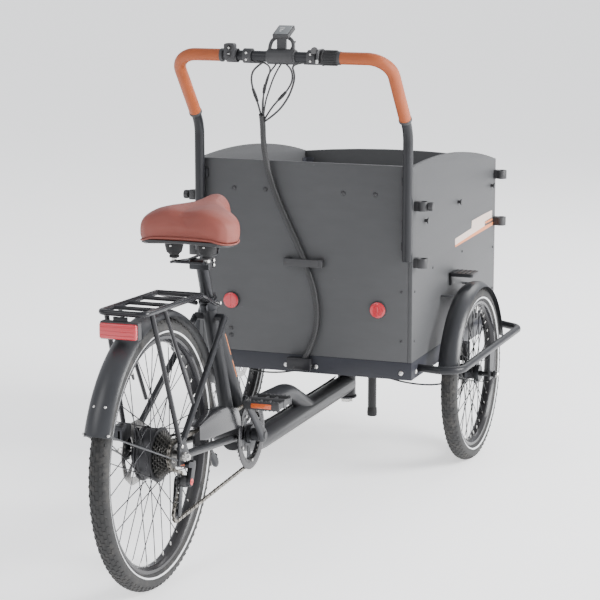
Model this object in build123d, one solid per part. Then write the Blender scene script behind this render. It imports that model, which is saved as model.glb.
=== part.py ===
from build123d import *
import os
from math import atan2, cos, hypot, pi, radians, sin, sqrt, tan

# A cargo tricycle. It is drawn from the rear axle forward: X to the rider's right, Y forward,
# Z up from the ground, in millimetres. save() moves it so that the origin is at the middle
# of its footprint.

# Driving dimensions
REAR_R = 330.0          # rear tyre, outside radius
FRONT_R = 257.0         # front tyres, outside radius
TYRE_W = 50.0
WHEELBASE = 1441.0
HALF_TRACK = 381.0
BOX_HALF = 319.0        # outside half width of the box
BOX_REAR = 1046.0
BOX_FRONT = 1910.0
BOX_BASE = 311.0        # lower edge of the steel apron
APRON_H = 50.0
BOARD = 12.0            # panel thickness
REAR_TOP = 911.0        # top of the rear panel
FRONT_TOP = 835.0       # top of the box at its front corners
FRONT_CROWN = 15.0
SIDE_CROWN = 30.0
PIVOT_Y = 1420.0        # steering pin
BB = (486.0, 269.0)     # crank axis, as Y and Z
SEAT_ANGLE = 69.2
SEAT_TUBE_L = 411.0
CRANK_L = 170.0
CRANK_ANGLE = 135.5     # right crank, measured from forward
CHAIN_X = 52.0
PITCH = 12.7
RING_T, COG_T, PULLEY_T = 40, 16, 10
UPPER_PULLEY = (28.0, 262.0)
LOWER_PULLEY = (14.0, 186.0)
POST_X, POST_Y, POST_FOOT, POST_KNEE = 308.0, 1030.0, 650.0, 1010.0
BAR_Y, BAR_Z, BAR_D = 862.0, 1217.0, 28.0
GUARD_X, GUARD_Z = 441.0, 335.0
BENCH_Z = 585.0
BENCH_Y = (1066.0, 1346.0)
FIT = 0.05              # radial clearance of a running fit
SKIP = 0.3              # gap between pieces that only pass each other

MID_Y = (BOX_FRONT - REAR_R) / 2
REAR_AXIS = (0.0, REAR_R)
APRON_TOP = BOX_BASE + APRON_H


def save(name, *solids):
    """Write one sub-part, with the origin at the middle of the footprint."""
    shape = Compound([piece for solid in solids for piece in solid.solids()])
    export_step(shape.moved(Location((0, -MID_Y, 0))), f"parts/{name}.step")


def block(x, y, z):
    """A box from three (low, high) pairs."""
    size = [b - a for a, b in (x, y, z)]
    mid = [(a + b) / 2 for a, b in (x, y, z)]
    return Pos(*mid) * Box(*size)


def rod(start, end, radius):
    """A round bar between two points."""
    a, b = Vector(*start), Vector(*end)
    plane = Plane(origin=a, z_dir=b - a)
    return plane * Cylinder(radius, (b - a).length, align=(Align.CENTER, Align.CENTER, Align.MIN))


def disc(axis, radius, x0, x1):
    """A cylinder along X about an axis given as Y and Z."""
    y, z = axis
    return rod((x0, y, z), (x1, y, z), radius)


def ring(axis, outer, inner, x0, x1):
    return disc(axis, outer, x0, x1) - disc(axis, inner, x0 - 1, x1 + 1)


def tube(points, radius, bends):
    """A round tube along straight runs joined by arcs."""
    path = FilletPolyline(*points, radius=bends)
    section = Plane(origin=path @ 0, z_dir=path % 0) * Circle(radius)
    return sweep(section, path=path)


def corner_radii(points, share=0.45):
    """The largest easy arc at each corner of a cable's route."""
    pts = [Vector(*p) for p in points]
    radii = []
    for a, b, c in zip(pts, pts[1:], pts[2:]):
        turn = radians((b - a).get_angle(c - b))
        radii.append(share * min((b - a).length, (c - b).length) / tan(turn / 2))
    return radii


def plate(outline, x0, x1):
    """A flat plate across X from an outline of (Y, Z) points."""
    face = Plane.YZ.offset(x0) * make_face(Polyline(*outline, close=True))
    return extrude(face, x1 - x0)


def along_seat_tube(distance, x=0.0):
    """A point on the seat tube's axis, measured up from the crank axis."""
    a = radians(SEAT_ANGLE)
    return (x, BB[0] - distance * cos(a), BB[1] + distance * sin(a))


def link(a, b, width, x0, x1):
    """A flat bar with round ends between two axes."""
    bar = Plane(origin=(0, (a[0] + b[0]) / 2, (a[1] + b[1]) / 2), x_dir=(0, b[0] - a[0], b[1] - a[1]),
                z_dir=(1, 0, 0))
    length = hypot(b[0] - a[0], b[1] - a[1])
    body = extrude(bar.offset(x0) * Rectangle(length, width), x1 - x0)
    return body + disc(a, width / 2, x0, x1) + disc(b, width / 2, x0, x1)


def pitch_radius(teeth):
    return PITCH / (2 * sin(pi / teeth))


# Main frame: boom, curved upper tube, seat tube and crank shell
BOOM_R, BOOM_Z, SWAN_R, SEAT_R, POST_R = 29.0, 200.0, 24.0, 19.0, 15.8
HEAD_R, HEAD_Z = 27.0, (163.0, 240.0)
PIN_R = 12.0


def frame_tubes():
    boom = tube([(0, BB[0] + 14, 246), (0, BB[0] + 190, BOOM_Z), (0, PIVOT_Y, BOOM_Z)], BOOM_R, 300)
    swan = tube([(0, 378, 582), (0, 545, 305), (0, 900, 290), (0, 1090, 200)], SWAN_R, [110, 260])
    seat = rod(along_seat_tube(0), along_seat_tube(SEAT_TUBE_L), SEAT_R)
    shell = disc(BB, 25, -36, 36)
    head = rod((0, PIVOT_Y, HEAD_Z[0]), (0, PIVOT_Y, HEAD_Z[1]), HEAD_R)
    return boom + swan + seat + shell + head


def main_frame():
    frame = frame_tubes()
    frame -= rod(along_seat_tube(SEAT_TUBE_L - 270), along_seat_tube(SEAT_TUBE_L + 5), POST_R + FIT)
    frame -= disc(BB, 12 + FIT, -40, 40)
    return frame - rod((0, PIVOT_Y, 100), (0, PIVOT_Y, 300), PIN_R)


DROP_X, STAY_END = (68.0, 74.0), 66.0
SHELL_STAY = (34.0, 452.0, 268.0)
BRIDGE = (40.0, 357.0, 600.0)
DROPOUT = [(-20, REAR_R - 18), (44, REAR_R - 24), (40, REAR_R + 4), (16, REAR_R + 44), (-14, REAR_R + 34)]


def rear_stays():
    """Chain stays, seat stays, their bridge and the two dropouts."""
    stays = rod((-BRIDGE[0], BRIDGE[1], BRIDGE[2]), (BRIDGE[0], BRIDGE[1], BRIDGE[2]), 9)
    for side in (-1, 1):
        low = (side * STAY_END, 14, REAR_R - 2)
        stays += rod(low, (side * SHELL_STAY[0], SHELL_STAY[1], SHELL_STAY[2]), 10)
        stays += rod((side * STAY_END, 4, REAR_R + 16), (side * BRIDGE[0], BRIDGE[1], BRIDGE[2]), 8)
    stays += both_dropouts()
    return stays - frame_tubes() - disc(REAR_AXIS, 6 + FIT, -90, 90)


def both_dropouts():
    right = plate(DROPOUT, *DROP_X)
    return right + mirror(right, Plane.YZ)


RACK_HALF, RACK_REAR, RACK_FRONT = 58.0, -172.0, 160.0
RACK_Z = (704.0, 692.0)


def rack_point(x, y, drop=0.0):
    share = (y - RACK_REAR) / (RACK_FRONT - RACK_REAR)
    return (x, y, RACK_Z[0] + share * (RACK_Z[1] - RACK_Z[0]) - drop)


def rear_rack():
    h = RACK_HALF
    loop = [rack_point(-h, RACK_FRONT), rack_point(-h, RACK_REAR), rack_point(h, RACK_REAR),
            rack_point(h, RACK_FRONT)]
    rack = tube(loop, 7, 22)
    rack += rod(loop[0], loop[3], 7)
    for y in (-95, -15, 70):
        rack += rod(rack_point(-h, y), rack_point(h, y), 5)
    for side in (-1, 1):
        rack += rod(rack_point(side * h, -132), (side * 71, -3, REAR_R + 26), 6)
        rack += rod(rack_point(side * h, RACK_FRONT), (side * 30, 338, 636), 6)
        rack += rod(rack_point(side * h, -60), (side * 62, 96, 440), 5)
    return rack - both_dropouts()


def mudguard(axis, x, radius, width, start, end, gauge=2.0):
    """A curved strip round a wheel, from one angle to another, measured from forward."""
    half, sag = width / 2, width * 0.22
    outer = ThreePointArc((-half, radius - sag), (0, radius + gauge), (half, radius - sag))
    inner = ThreePointArc((half - gauge, radius - sag), (0, radius), (gauge - half, radius - sag))
    edge = Line(outer @ 1, inner @ 0) + Line(inner @ 1, outer @ 0)
    section = Plane.XZ * make_face(outer + inner + edge)
    strip = revolve(Rot(start - 90, 0, 0) * section, Axis.X, end - start)
    return Pos(x, axis[0], axis[1]) * strip


def rear_fender():
    strip = mudguard(REAR_AXIS, 0, REAR_R + 18, 66, 18, 160)
    for side in (-1, 1):
        strip += rod((side * 31, -318, 452), (side * 71, -23, REAR_R - 4), 2.2)
    return strip


def rear_light():
    body = fillet(block((-49, 49), (-196, -166), (644, 686)).edges().filter_by(Axis.X), 6)
    return body + block((-20, 20), (-182, -172), (684, 697))


DISC_X = (-49.5, -47.5)


def rear_caliper():
    body = fillet(block((-66, -40), (-92, -40), (378, 414)).edges().filter_by(Axis.X), 7)
    body -= block((DISC_X[0] - 1.5, DISC_X[1] + 1.5), (-100, -30), (370, 404))
    return body + block((-67, -56), (-46, -26), (366, 384))


def seat_collar():
    a, b = along_seat_tube(SEAT_TUBE_L - 30), along_seat_tube(SEAT_TUBE_L - 4)
    band = rod(a, b, SEAT_R + 5)
    lug = Plane(origin=along_seat_tube(SEAT_TUBE_L - 17), z_dir=Vector(*b) - Vector(*a))
    ears = lug * Pos(-26, 0, 0) * Box(16, 16, 20) + lug * Pos(26, 0, 0) * Box(16, 16, 20)
    return band + ears - rod(along_seat_tube(SEAT_TUBE_L - 60), along_seat_tube(SEAT_TUBE_L + 9), SEAT_R)


def rear_axle():
    axle = disc(REAR_AXIS, 6, -84, 84)
    for side in (-1, 1):
        axle += disc(REAR_AXIS, 11, *sorted((side * DROP_X[1], side * (DROP_X[1] + 8))))
    return axle


# Drive: the chain's path goes round four wheels
CIRCLES = [
    (BB, pitch_radius(RING_T), 1),
    (REAR_AXIS, pitch_radius(COG_T), 1),
    (UPPER_PULLEY, pitch_radius(PULLEY_T), -1),
    (LOWER_PULLEY, pitch_radius(PULLEY_T), 1),
]


def tangent(one, two):
    """Where a straight chain run leaves one wheel and meets the next."""
    (a, ra, sa), (b, rb, sb) = one, two
    dy, dz = b[0] - a[0], b[1] - a[1]
    k = sb * rb - sa * ra
    run = sqrt(dy * dy + dz * dz - k * k)
    uy, uz = (run * dy + k * dz) / (dy * dy + dz * dz), (run * dz - k * dy) / (dy * dy + dz * dz)
    ny, nz = -uz, uy
    return (a[0] - sa * ra * ny, a[1] - sa * ra * nz), (b[0] - sb * rb * ny, b[1] - sb * rb * nz)


def chain_outline(offset):
    """The closed line at a distance outside the chain's pitch line."""
    wheels = [(c, r + s * offset, s) for c, r, s in CIRCLES]
    runs = [tangent(wheels[i], wheels[(i + 1) % 4]) for i in range(4)]
    edges = []
    for i, (start, end) in enumerate(runs):
        edges.append(Line(start, end))
        centre, radius, sense = wheels[(i + 1) % 4]
        leave = runs[(i + 1) % 4][0]
        a0 = atan2(end[1] - centre[1], end[0] - centre[0])
        a1 = atan2(leave[1] - centre[1], leave[0] - centre[0])
        sweep_angle = (a1 - a0) * sense % (2 * pi) * sense
        mid = a0 + sweep_angle / 2
        middle = (centre[0] + radius * cos(mid), centre[1] + radius * sin(mid))
        edges.append(ThreePointArc(end, middle, leave))
    return edges


CHAIN_SIDE = (1.9, 3.2)     # side plates, from the chain's middle plane
CHAIN_HALF_H = 4.2


def chain():
    loop = make_face(Wire(chain_outline(CHAIN_HALF_H)))
    band = loop - make_face(Wire(chain_outline(-CHAIN_HALF_H)))
    result = None
    for side in (-1, 1):
        x0, x1 = sorted((CHAIN_X + side * CHAIN_SIDE[0], CHAIN_X + side * CHAIN_SIDE[1]))
        strip = extrude(Plane.YZ.offset(x0) * band, x1 - x0)
        result = strip if result is None else result + strip
    for i, step in ((0, 0.2), (0, 0.5), (0, 0.8), (3, 0.25), (3, 0.5), (3, 0.75)):
        (y0, z0), (y1, z1) = tangent(CIRCLES[i], CIRCLES[(i + 1) % 4])
        pin = (y0 + step * (y1 - y0), z0 + step * (z1 - z0))
        result += disc(pin, 1.8, CHAIN_X - CHAIN_SIDE[1], CHAIN_X + CHAIN_SIDE[1])
    return result


def toothed(teeth, axis, x0, x1, bore):
    """A sprocket whose first tooth gap points straight up."""
    root, tip = pitch_radius(teeth) - 3.6, pitch_radius(teeth) + 2.6
    points = []
    for i in range(teeth):
        for share, radius in ((0.0, root), (0.22, root), (0.42, tip), (0.58, tip), (0.78, root)):
            a = pi / 2 + 2 * pi * (i + share) / teeth
            points.append((axis[0] + radius * cos(a), axis[1] + radius * sin(a)))
    return plate(points, x0, x1) - disc(axis, bore, x0 - 1, x1 + 1)


def chainring():
    sheet = toothed(RING_T, BB, CHAIN_X - 1, CHAIN_X + 1, 14)
    for i in range(5):
        a = radians(90 + 72 * i)
        sheet -= disc((BB[0] + 46 * cos(a), BB[1] + 46 * sin(a)), 15, CHAIN_X - 5, CHAIN_X + 5)
    guard = ring(BB, 92, 66, 58, 61)
    for i in range(5):
        a = radians(54 + 72 * i)
        guard += disc((BB[0] + 69 * cos(a), BB[1] + 69 * sin(a)), 4, CHAIN_X + 1, 59)
    return sheet + guard


SPINDLE_R = 12.0


def crank_end(side):
    a = radians(CRANK_ANGLE) + (0 if side > 0 else pi)
    return (BB[0] + CRANK_L * cos(a), BB[1] + CRANK_L * sin(a))


def crank_arms():
    arms = disc(BB, SPINDLE_R, -88, 88) + disc(BB, 26, CHAIN_X + 1, 64)
    arms += disc(BB, 18, 60, 86)
    for side in (-1, 1):
        x0, x1 = sorted((side * 84, side * 98))
        arms += link(BB, crank_end(side), 26, x0, x1)
        arms += disc(crank_end(side), 5, *sorted((side * 96, side * 196)))
    return arms


def pedal(side):
    """A flat platform with two side plates and a cross tread, on the crank's pin."""
    y, z = crank_end(side)
    x0, x1 = sorted((side * 104, side * 200))
    body = disc((y, z), 12, x0, x1)
    for dy in (-46, 38):
        body += block((x0, x1), (y + dy, y + dy + 8), (z - 12, z + 12))
    for x in (x0, x0 + 29, x1 - 37, x1 - 8):
        body += block((x, x + 8), (y - 44, y + 44), (z - 9, z + 9))
    return body - disc((y, z), 5 + FIT, x0 - 1, x1 + 1)


COGS = (28, 26, 24, 22, 20, 18, COG_T)


def cassette():
    body = disc(REAR_AXIS, 17, 20.5, CHAIN_X + 2)
    for i, teeth in enumerate(reversed(COGS)):
        x = CHAIN_X - 5 * i
        body += toothed(teeth, REAR_AXIS, x - 0.9, x + 0.9, 10)
    return body - disc(REAR_AXIS, 6 + FIT, 0, 80)


PULLEY_PIN = 2.5


def pulley(axis):
    body = toothed(PULLEY_T, axis, CHAIN_X - 1.0, CHAIN_X + 1.0, PULLEY_PIN + FIT)
    return body + ring(axis, 9, PULLEY_PIN + FIT, CHAIN_X - 4, CHAIN_X + 4)


def derailleur():
    """Cage of two plates with the pulley pins, the knuckle and its link to the dropout."""
    cage = link(UPPER_PULLEY, LOWER_PULLEY, 20, 58, 60.5) + link(UPPER_PULLEY, LOWER_PULLEY, 20, 43.5, 46)
    for axis in (UPPER_PULLEY, LOWER_PULLEY):
        cage += disc(axis, PULLEY_PIN, 44, 60)
    cage += disc(UPPER_PULLEY, 13, 60.5, 82)
    cage += link(UPPER_PULLEY, (44, 300), 22, 74 + SKIP, 86)
    cage += link((44, 300), (18, 306), 14, 74 + SKIP, 86)
    return cage


def chain_cover():
    """A hood over the chain's upper run."""
    outer = [(118, 376), (150, 381), (200, 387), (260, 388), (310, 382), (366, 366)]
    inner = [(y, z - 3) for y, z in outer]
    side = outer + [(384, 340), (392, 312), (330, 318), (250, 324), (160, 332), (118, 342)]
    wall = Polyline(*outer, *reversed(inner), close=True)
    hood = extrude(Plane.YZ.offset(42) * make_face(wall), 28)
    skin = plate(side, 68, 70)
    return hood + skin + rod((42, 250, 384), (34, 250, 384), 4)


# Wheels
def wheel_tyre(x, axis, radius):
    torus = Pos(x, *axis) * Rot(0, 90, 0) * Torus(radius - TYRE_W / 2, TYRE_W / 2)
    return torus - disc(axis, radius - 44, x - 40, x + 40)


def wheel_rim(x, axis, radius, flange, spread, count):
    """A rim with spokes laced alternately to two hub flanges."""
    rim = ring(axis, radius - 44, radius - 60, x - 15, x + 15)
    rim -= ring(axis, radius - 47, radius - 57, x - 12, x + 12)
    for i in range(count):
        out = 2 * pi * i / count
        start = out + (0.9 if i % 4 < 2 else -0.9)
        side = spread if i % 2 else -spread
        hub_end = (x + side, axis[0] + flange * cos(start), axis[1] + flange * sin(start))
        rim_end = (x, axis[0] + (radius - 59) * cos(out), axis[1] + (radius - 59) * sin(out))
        rim += rod(hub_end, rim_end, 1.3)
    return rim


def rear_hub():
    hub = disc(REAR_AXIS, 62, -24, 19) + disc(REAR_AXIS, 66, -26, -22) + disc(REAR_AXIS, 66, 14, 18)
    hub += disc(REAR_AXIS, 24, DISC_X[1], -24) + ring(REAR_AXIS, 80, 20, *DISC_X)
    for i in range(6):
        a = radians(60 * i)
        hub -= disc((52 * cos(a), REAR_R + 52 * sin(a)), 13, -60, -45)
    return hub - disc(REAR_AXIS, 6 + FIT, -90, 90)


AXLE_R = 7.0
FRONT_AXIS = (WHEELBASE, FRONT_R)


def front_hub(side):
    """Hub shell and brake disc of a front wheel, for the right side."""
    hub = disc(FRONT_AXIS, 24, 348, 408) + disc(FRONT_AXIS, 32, 362, 366) + disc(FRONT_AXIS, 32, 396, 400)
    hub += ring(FRONT_AXIS, 70, 20, 346, 348)
    hub -= disc(FRONT_AXIS, AXLE_R + FIT, 300, 460)
    return hub if side > 0 else mirror(hub, Plane.YZ)


def front_rim(side):
    return wheel_rim(side * HALF_TRACK, FRONT_AXIS, FRONT_R, 30, 15, 36)


def both(solid):
    return [solid, mirror(solid, Plane.YZ)]


# Steered box
def side_top(y):
    """Height of the side panel's crowned top edge."""
    share = (y - BOX_REAR) / (BOX_FRONT - BOX_REAR)
    return REAR_TOP + share * (FRONT_TOP - REAR_TOP) + SIDE_CROWN * 4 * share * (1 - share)


def side_panel():
    y0, y1 = BOX_REAR, BOX_FRONT
    mid = (y0 + y1) / 2
    top = ThreePointArc((y1, FRONT_TOP), (mid, side_top(mid)), (y0, REAR_TOP))
    low = Polyline((y0, REAR_TOP), (y0, APRON_TOP), (y1, APRON_TOP), (y1, FRONT_TOP))
    face = Plane.YZ.offset(BOX_HALF - BOARD) * make_face(top + low)
    return extrude(face, BOARD)


def end_panel(y, top, crown):
    half = BOX_HALF - BOARD
    low = Polyline((half, top), (half, APRON_TOP), (-half, APRON_TOP), (-half, top))
    ends = (-half, top), (half, top)
    lid = ThreePointArc(ends[0], (0, top + crown), ends[1]) if crown else Line(*ends)
    face = Plane.XZ * make_face(low + lid)
    return Pos(0, y + BOARD, 0) * extrude(face, BOARD)


def box_frame():
    """Steel apron round the foot of the box and four angle posts in its corners."""
    outer = block((-BOX_HALF, BOX_HALF), (BOX_REAR, BOX_FRONT), (BOX_BASE, APRON_TOP))
    frame = outer - block((-BOX_HALF + 3, BOX_HALF - 3), (BOX_REAR + 3, BOX_FRONT - 3), (0, 900))
    inner_x = BOX_HALF - BOARD
    for y, away, top in ((BOX_REAR + BOARD, 1, 890), (BOX_FRONT - BOARD, -1, 815)):
        for side in (-1, 1):
            x_leg = sorted((side * inner_x, side * (inner_x - 28)))
            y_leg = sorted((y, y + away * 28))
            thin_x = sorted((side * inner_x, side * (inner_x - 3)))
            frame += block(x_leg, sorted((y, y + away * 3)), (APRON_TOP, top))
            frame += block(thin_x, y_leg, (APRON_TOP, top))
            frame += block(x_leg, y_leg, (APRON_TOP, APRON_TOP + 3))
            frame += block(sorted((side * (BOX_HALF - 3), side * (inner_x - 28))),
                           sorted((y - away * (BOARD - 3), y + away * 28)), (APRON_TOP - 3, APRON_TOP))
    return frame


def undercarriage():
    """Rails and crossmembers under the floor, the steering boss and the front foot."""
    inner = BOX_HALF - 3
    low, high = BOX_BASE + 2, APRON_TOP - BOARD
    body = block((-60, 60), (PIVOT_Y - 70, PIVOT_Y + 70), (low, high))
    for x in (-150, 150):
        body += block((x - 20, x + 20), (BOX_REAR + 3, BOX_FRONT - 3), (low, high))
    for y in (1110, PIVOT_Y, 1664, 1850):
        body += block((-inner, inner), (y - 20, y + 20), (low, high))
    body += rod((0, PIVOT_Y, HEAD_Z[1] + SKIP), (0, PIVOT_Y, low + 5), 26)
    body += rod((0, 1664, 48), (0, 1664, low + 5), 13.5)
    return body - rod((0, PIVOT_Y, 200), (0, PIVOT_Y, 400), PIN_R + FIT)


MAT_T = 3.0


def floor_panel():
    inner = BOX_HALF - 3
    return block((-inner, inner), (BOX_REAR + 3, BOX_FRONT - 3), (APRON_TOP - BOARD, APRON_TOP - MAT_T))


def floor_mat():
    """Rubber mat on the floor in front of the bench, clear of the corner posts."""
    half = BOX_HALF - 51
    return block((-half, half), (BENCH_Y[1] + 30, BOX_FRONT - 38), (APRON_TOP - MAT_T, APRON_TOP))


def front_axle():
    """Right drop plate, its stub axle, the outer nut and the brake caliper."""
    plate_body = plate([(1400, APRON_TOP), (1400, 262), (1420, 236), (1462, 236), (1482, 262),
                        (1482, APRON_TOP)], BOX_HALF + SKIP, BOX_HALF + 8)
    axle = disc(FRONT_AXIS, AXLE_R, BOX_HALF + 2, 456) + disc(FRONT_AXIS, 11, 448, 456)
    caliper = block((BOX_HALF + 8, 360), (1462, 1500), (286, 338))
    caliper -= block((344.5, 349.5), (1450, 1520), (280, 328))
    arm = block((BOX_HALF + 2, 340), (1450, 1490), (296, 312))
    return plate_body + axle + caliper + arm


def wheel_guard():
    """Outrigger loop round the right wheel, its drop plate and the step above the mudguard."""
    x0 = BOX_HALF + SKIP
    route = [(x0, 1112, GUARD_Z), (GUARD_X, 1084, GUARD_Z), (GUARD_X, 1762, GUARD_Z), (x0, 1838, GUARD_Z)]
    loop = tube(route, 11, 55)
    hanger = plate([(1416, 346), (1416, 244), (1466, 244), (1466, 346)], GUARD_X - 3, GUARD_X + 3)
    hanger -= disc(FRONT_AXIS, AXLE_R, 400, 470)
    loop -= block((0, x0), (1000, 2000), (300, 370))
    pad = fillet(block((x0 + 1, 392), (1400, 1470), (548, 558)).edges().filter_by(Axis.Z), 8)
    pad += block((x0, x0 + 4), (1410, 1460), (520, 556))
    return loop + hanger, pad


def front_fender():
    strip = mudguard(FRONT_AXIS, HALF_TRACK, FRONT_R + 12, 60, 14, 166)
    for y in (1330, 1552):
        strip += block((BOX_HALF + SKIP, 356), (y - 9, y + 9), (502, 505))
    return strip


# Handlebar and its controls
def handlebar():
    points = [(-POST_X, POST_Y, POST_FOOT), (-POST_X, POST_Y, POST_KNEE), (-POST_X, BAR_Y, BAR_Z),
              (POST_X, BAR_Y, BAR_Z), (POST_X, POST_Y, POST_KNEE), (POST_X, POST_Y, POST_FOOT)]
    bar = tube(points, BAR_D / 2, [90, 62, 62, 90])
    for side in (-1, 1):
        for z in (690, 870):
            x = sorted((side * (POST_X - 20), side * (POST_X + 10)))
            bar += block(x, (POST_Y + 8, BOX_REAR), (z - 12, z + 12))
    return bar


SLEEVE_START = (POST_X, BAR_Y + 108, BAR_Z - 133)
SLEEVE_END = 165.0


def bar_sleeve():
    route = [SLEEVE_START, (POST_X, BAR_Y, BAR_Z), (SLEEVE_END, BAR_Y, BAR_Z)]
    return tube(route, 17, 62) - tube(route, BAR_D / 2, 62)


LEVER_X, LEVER_Y, LEVER_Z = 92.0, BAR_Y + 34, BAR_Z - 20


def bar_controls():
    """Clamp and master cylinder of each brake lever."""
    axis = (BAR_Y, BAR_Z)
    clamp = ring(axis, 20, BAR_D / 2, LEVER_X - 12, LEVER_X + 12)
    body = block((LEVER_X - 34, LEVER_X + 16), (LEVER_Y - 10, LEVER_Y + 8), (LEVER_Z - 2, LEVER_Z + 16))
    web = block((LEVER_X - 10, LEVER_X + 10), (BAR_Y + 14, LEVER_Y - 6), (LEVER_Z, LEVER_Z + 14))
    clamp += web - disc(axis, 18, 0, 300)
    clamp += body - disc(axis, 20 + SKIP, 0, 300)
    clamp += rod((LEVER_X + 8, LEVER_Y, LEVER_Z + 14), (LEVER_X + 8, LEVER_Y, LEVER_Z + 32), 3)
    return clamp


def brake_lever():
    """Right lever blade, turning on an upright pin above its housing, level with the bar."""
    pivot = (LEVER_X + 8, LEVER_Y)
    boss = rod((*pivot, LEVER_Z + 16 + SKIP), (*pivot, LEVER_Z + 29), 9)
    blade_z = LEVER_Z + 23
    route = [(*pivot, blade_z), (LEVER_X + 46, LEVER_Y + 16, blade_z), (LEVER_X + 130, LEVER_Y + 14, blade_z)]
    blade = tube(route, 5, 40)
    return boss + blade - rod((*pivot, LEVER_Z + 5), (*pivot, LEVER_Z + 40), 3 + FIT)


def display():
    """Screen case on a bracket over the middle of the bar."""
    tilt = Plane(origin=(2, BAR_Y + 20, BAR_Z + 64), x_dir=(1, 0, 0), z_dir=(0, -0.39, 0.921))
    case = fillet((tilt * Box(46, 56, 13)).edges().filter_by(Axis.X, reverse=True), 2)
    arm = block((-10, 14), (BAR_Y - 2, BAR_Y + 12), (BAR_Z + 16, BAR_Z + 58))
    band = ring((BAR_Y, BAR_Z), 21, BAR_D / 2, -34, 40)
    return case + arm + band


PAD_X = (-152.0, -122.0)
BUTTON_Z = (BAR_Z + 6, BAR_Z + 22)


def control_pad():
    pad = ring((BAR_Y, BAR_Z), 19, BAR_D / 2, *PAD_X)
    case = block(PAD_X, (BAR_Y - 30, BAR_Y - 12), (BAR_Z - 8, BAR_Z + 34))
    pad += fillet(case.edges().filter_by(Axis.Y), 6)
    pad -= ring((BAR_Y, BAR_Z), 16, 1, -400, 400) & block(PAD_X, (BAR_Y - 13, BAR_Y + 5), (0, 2000))
    pad -= disc((BAR_Y, BAR_Z), BAR_D / 2, -200, 0)
    for z in BUTTON_Z:
        pad -= rod((sum(PAD_X) / 2, BAR_Y - 40, z), (sum(PAD_X) / 2, BAR_Y - 24, z), 6 + SKIP)
    return pad


def button(z):
    x = sum(PAD_X) / 2
    return rod((x, BAR_Y - 33, z), (x, BAR_Y - 27, z), 6)


def twist_shifter():
    body = ring((BAR_Y, BAR_Z), 21, BAR_D / 2 + FIT, 118, SLEEVE_END - SKIP)
    for i in range(12):
        a = radians(30 * i)
        body += disc((BAR_Y + 20 * cos(a), BAR_Z + 20 * sin(a)), 2.4, 122, SLEEVE_END - 4)
    return body


# Fittings on the box
CLIPS = [(1066.0, 801.0), (1066.0, 642.0), (1896.0, 788.0), (1896.0, 642.0)]
CLIP_X = 341.0


def pole_clips():
    """Open collars on the right side panel that take the poles of a rain hood."""
    clips = []
    for y, z in CLIPS:
        collar = rod((CLIP_X, y, z - 13), (CLIP_X, y, z + 13), 16)
        collar += block((BOX_HALF + SKIP, CLIP_X), (y - 12, y + 12), (z - 13, z + 13))
        collar -= rod((CLIP_X, y, z - 20), (CLIP_X, y, z + 20), 11)
        clips.append(collar)
    screw = disc(CLIPS[0], 3, CLIP_X + 12, CLIP_X + 28)
    clips[0] += screw
    return clips


def clamp_knob():
    knob = disc(CLIPS[0], 11, CLIP_X + 17, CLIP_X + 30)
    for i in range(6):
        a = radians(60 * i)
        knob += disc((CLIPS[0][0] + 9 * cos(a), CLIPS[0][1] + 9 * sin(a)), 4, CLIP_X + 18, CLIP_X + 29)
    return knob - disc(CLIPS[0], 3 + FIT, CLIP_X, CLIP_X + 28 + SKIP)


REFLECTOR = (220.0, 506.0)
HARNESS_BOLTS = (210.0, 116.0)
HARNESS_BOLT_Z = 829.0
STUDS = [(1158.0, 747.0), (1490.0, 755.0), (1857.0, 757.0)]


def reflectors():
    x, z = REFLECTOR
    return both(rod((x, BOX_REAR, z), (x, BOX_REAR - 9, z), 24))


def panel_bolts():
    bolts = []
    for x in HARNESS_BOLTS:
        bolts += both(rod((x, BOX_REAR, HARNESS_BOLT_Z), (x, BOX_REAR - 5, HARNESS_BOLT_Z), 7))
    for x in (-54, 36, 288):
        bolts.append(rod((x, BOX_REAR, 330), (x, BOX_REAR - 4, 330), 8))
    for y, z in STUDS:
        stem = disc((y, z), 5, BOX_HALF, BOX_HALF + 9) + disc((y, z), 9, BOX_HALF + 6, BOX_HALF + 12)
        bolts += both(stem)
    for y in (1085, 1860):
        bolts += both(disc((y, 330), 8, BOX_HALF, BOX_HALF + 4))
    return bolts


HARNESS = [(-62, 874, 1192), (-88, 908, 1150), (-100, 946, 1094), (-104, 984, 1034), (-110, 1015, 966),
           (-103, 1030, 890), (-80, 1034, 818), (-50, 1034, 752), (-20, 1034, 692), (8, 1034, 630),
           (32, 1034, 566), (44, 1034, 502), (42, 1034, 440), (24, 1034, 388), (2, 1034, 346)]
FRAME_CABLE = [(-62, 92, 334), (-58, 190, 322), (-50, 300, 306), (-41, 400, 298), (-41, 470, 305),
               (-36, 560, 262), (-34, 660, 236), (-32, 790, 214), (-33, 930, 212), (-33, 1090, 214),
               (-33, 1260, 212), (-33, 1395, 214)]


def cable(points, radius):
    """A held cable along its route, with the largest easy bends."""
    return tube(points, radius, corner_radii(points))


# Seat
def seat_post():
    post = rod(along_seat_tube(SEAT_TUBE_L - 170), along_seat_tube(SEAT_TUBE_L + 90), POST_R)
    x, y, z = along_seat_tube(SEAT_TUBE_L + 96)
    clamp = fillet(block((-26, 26), (y - 20, y + 20), (z - 13, z + 11)).edges().filter_by(Axis.X), 6)
    return post + clamp


SADDLE_Z = (812.0, 903.0)


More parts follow.
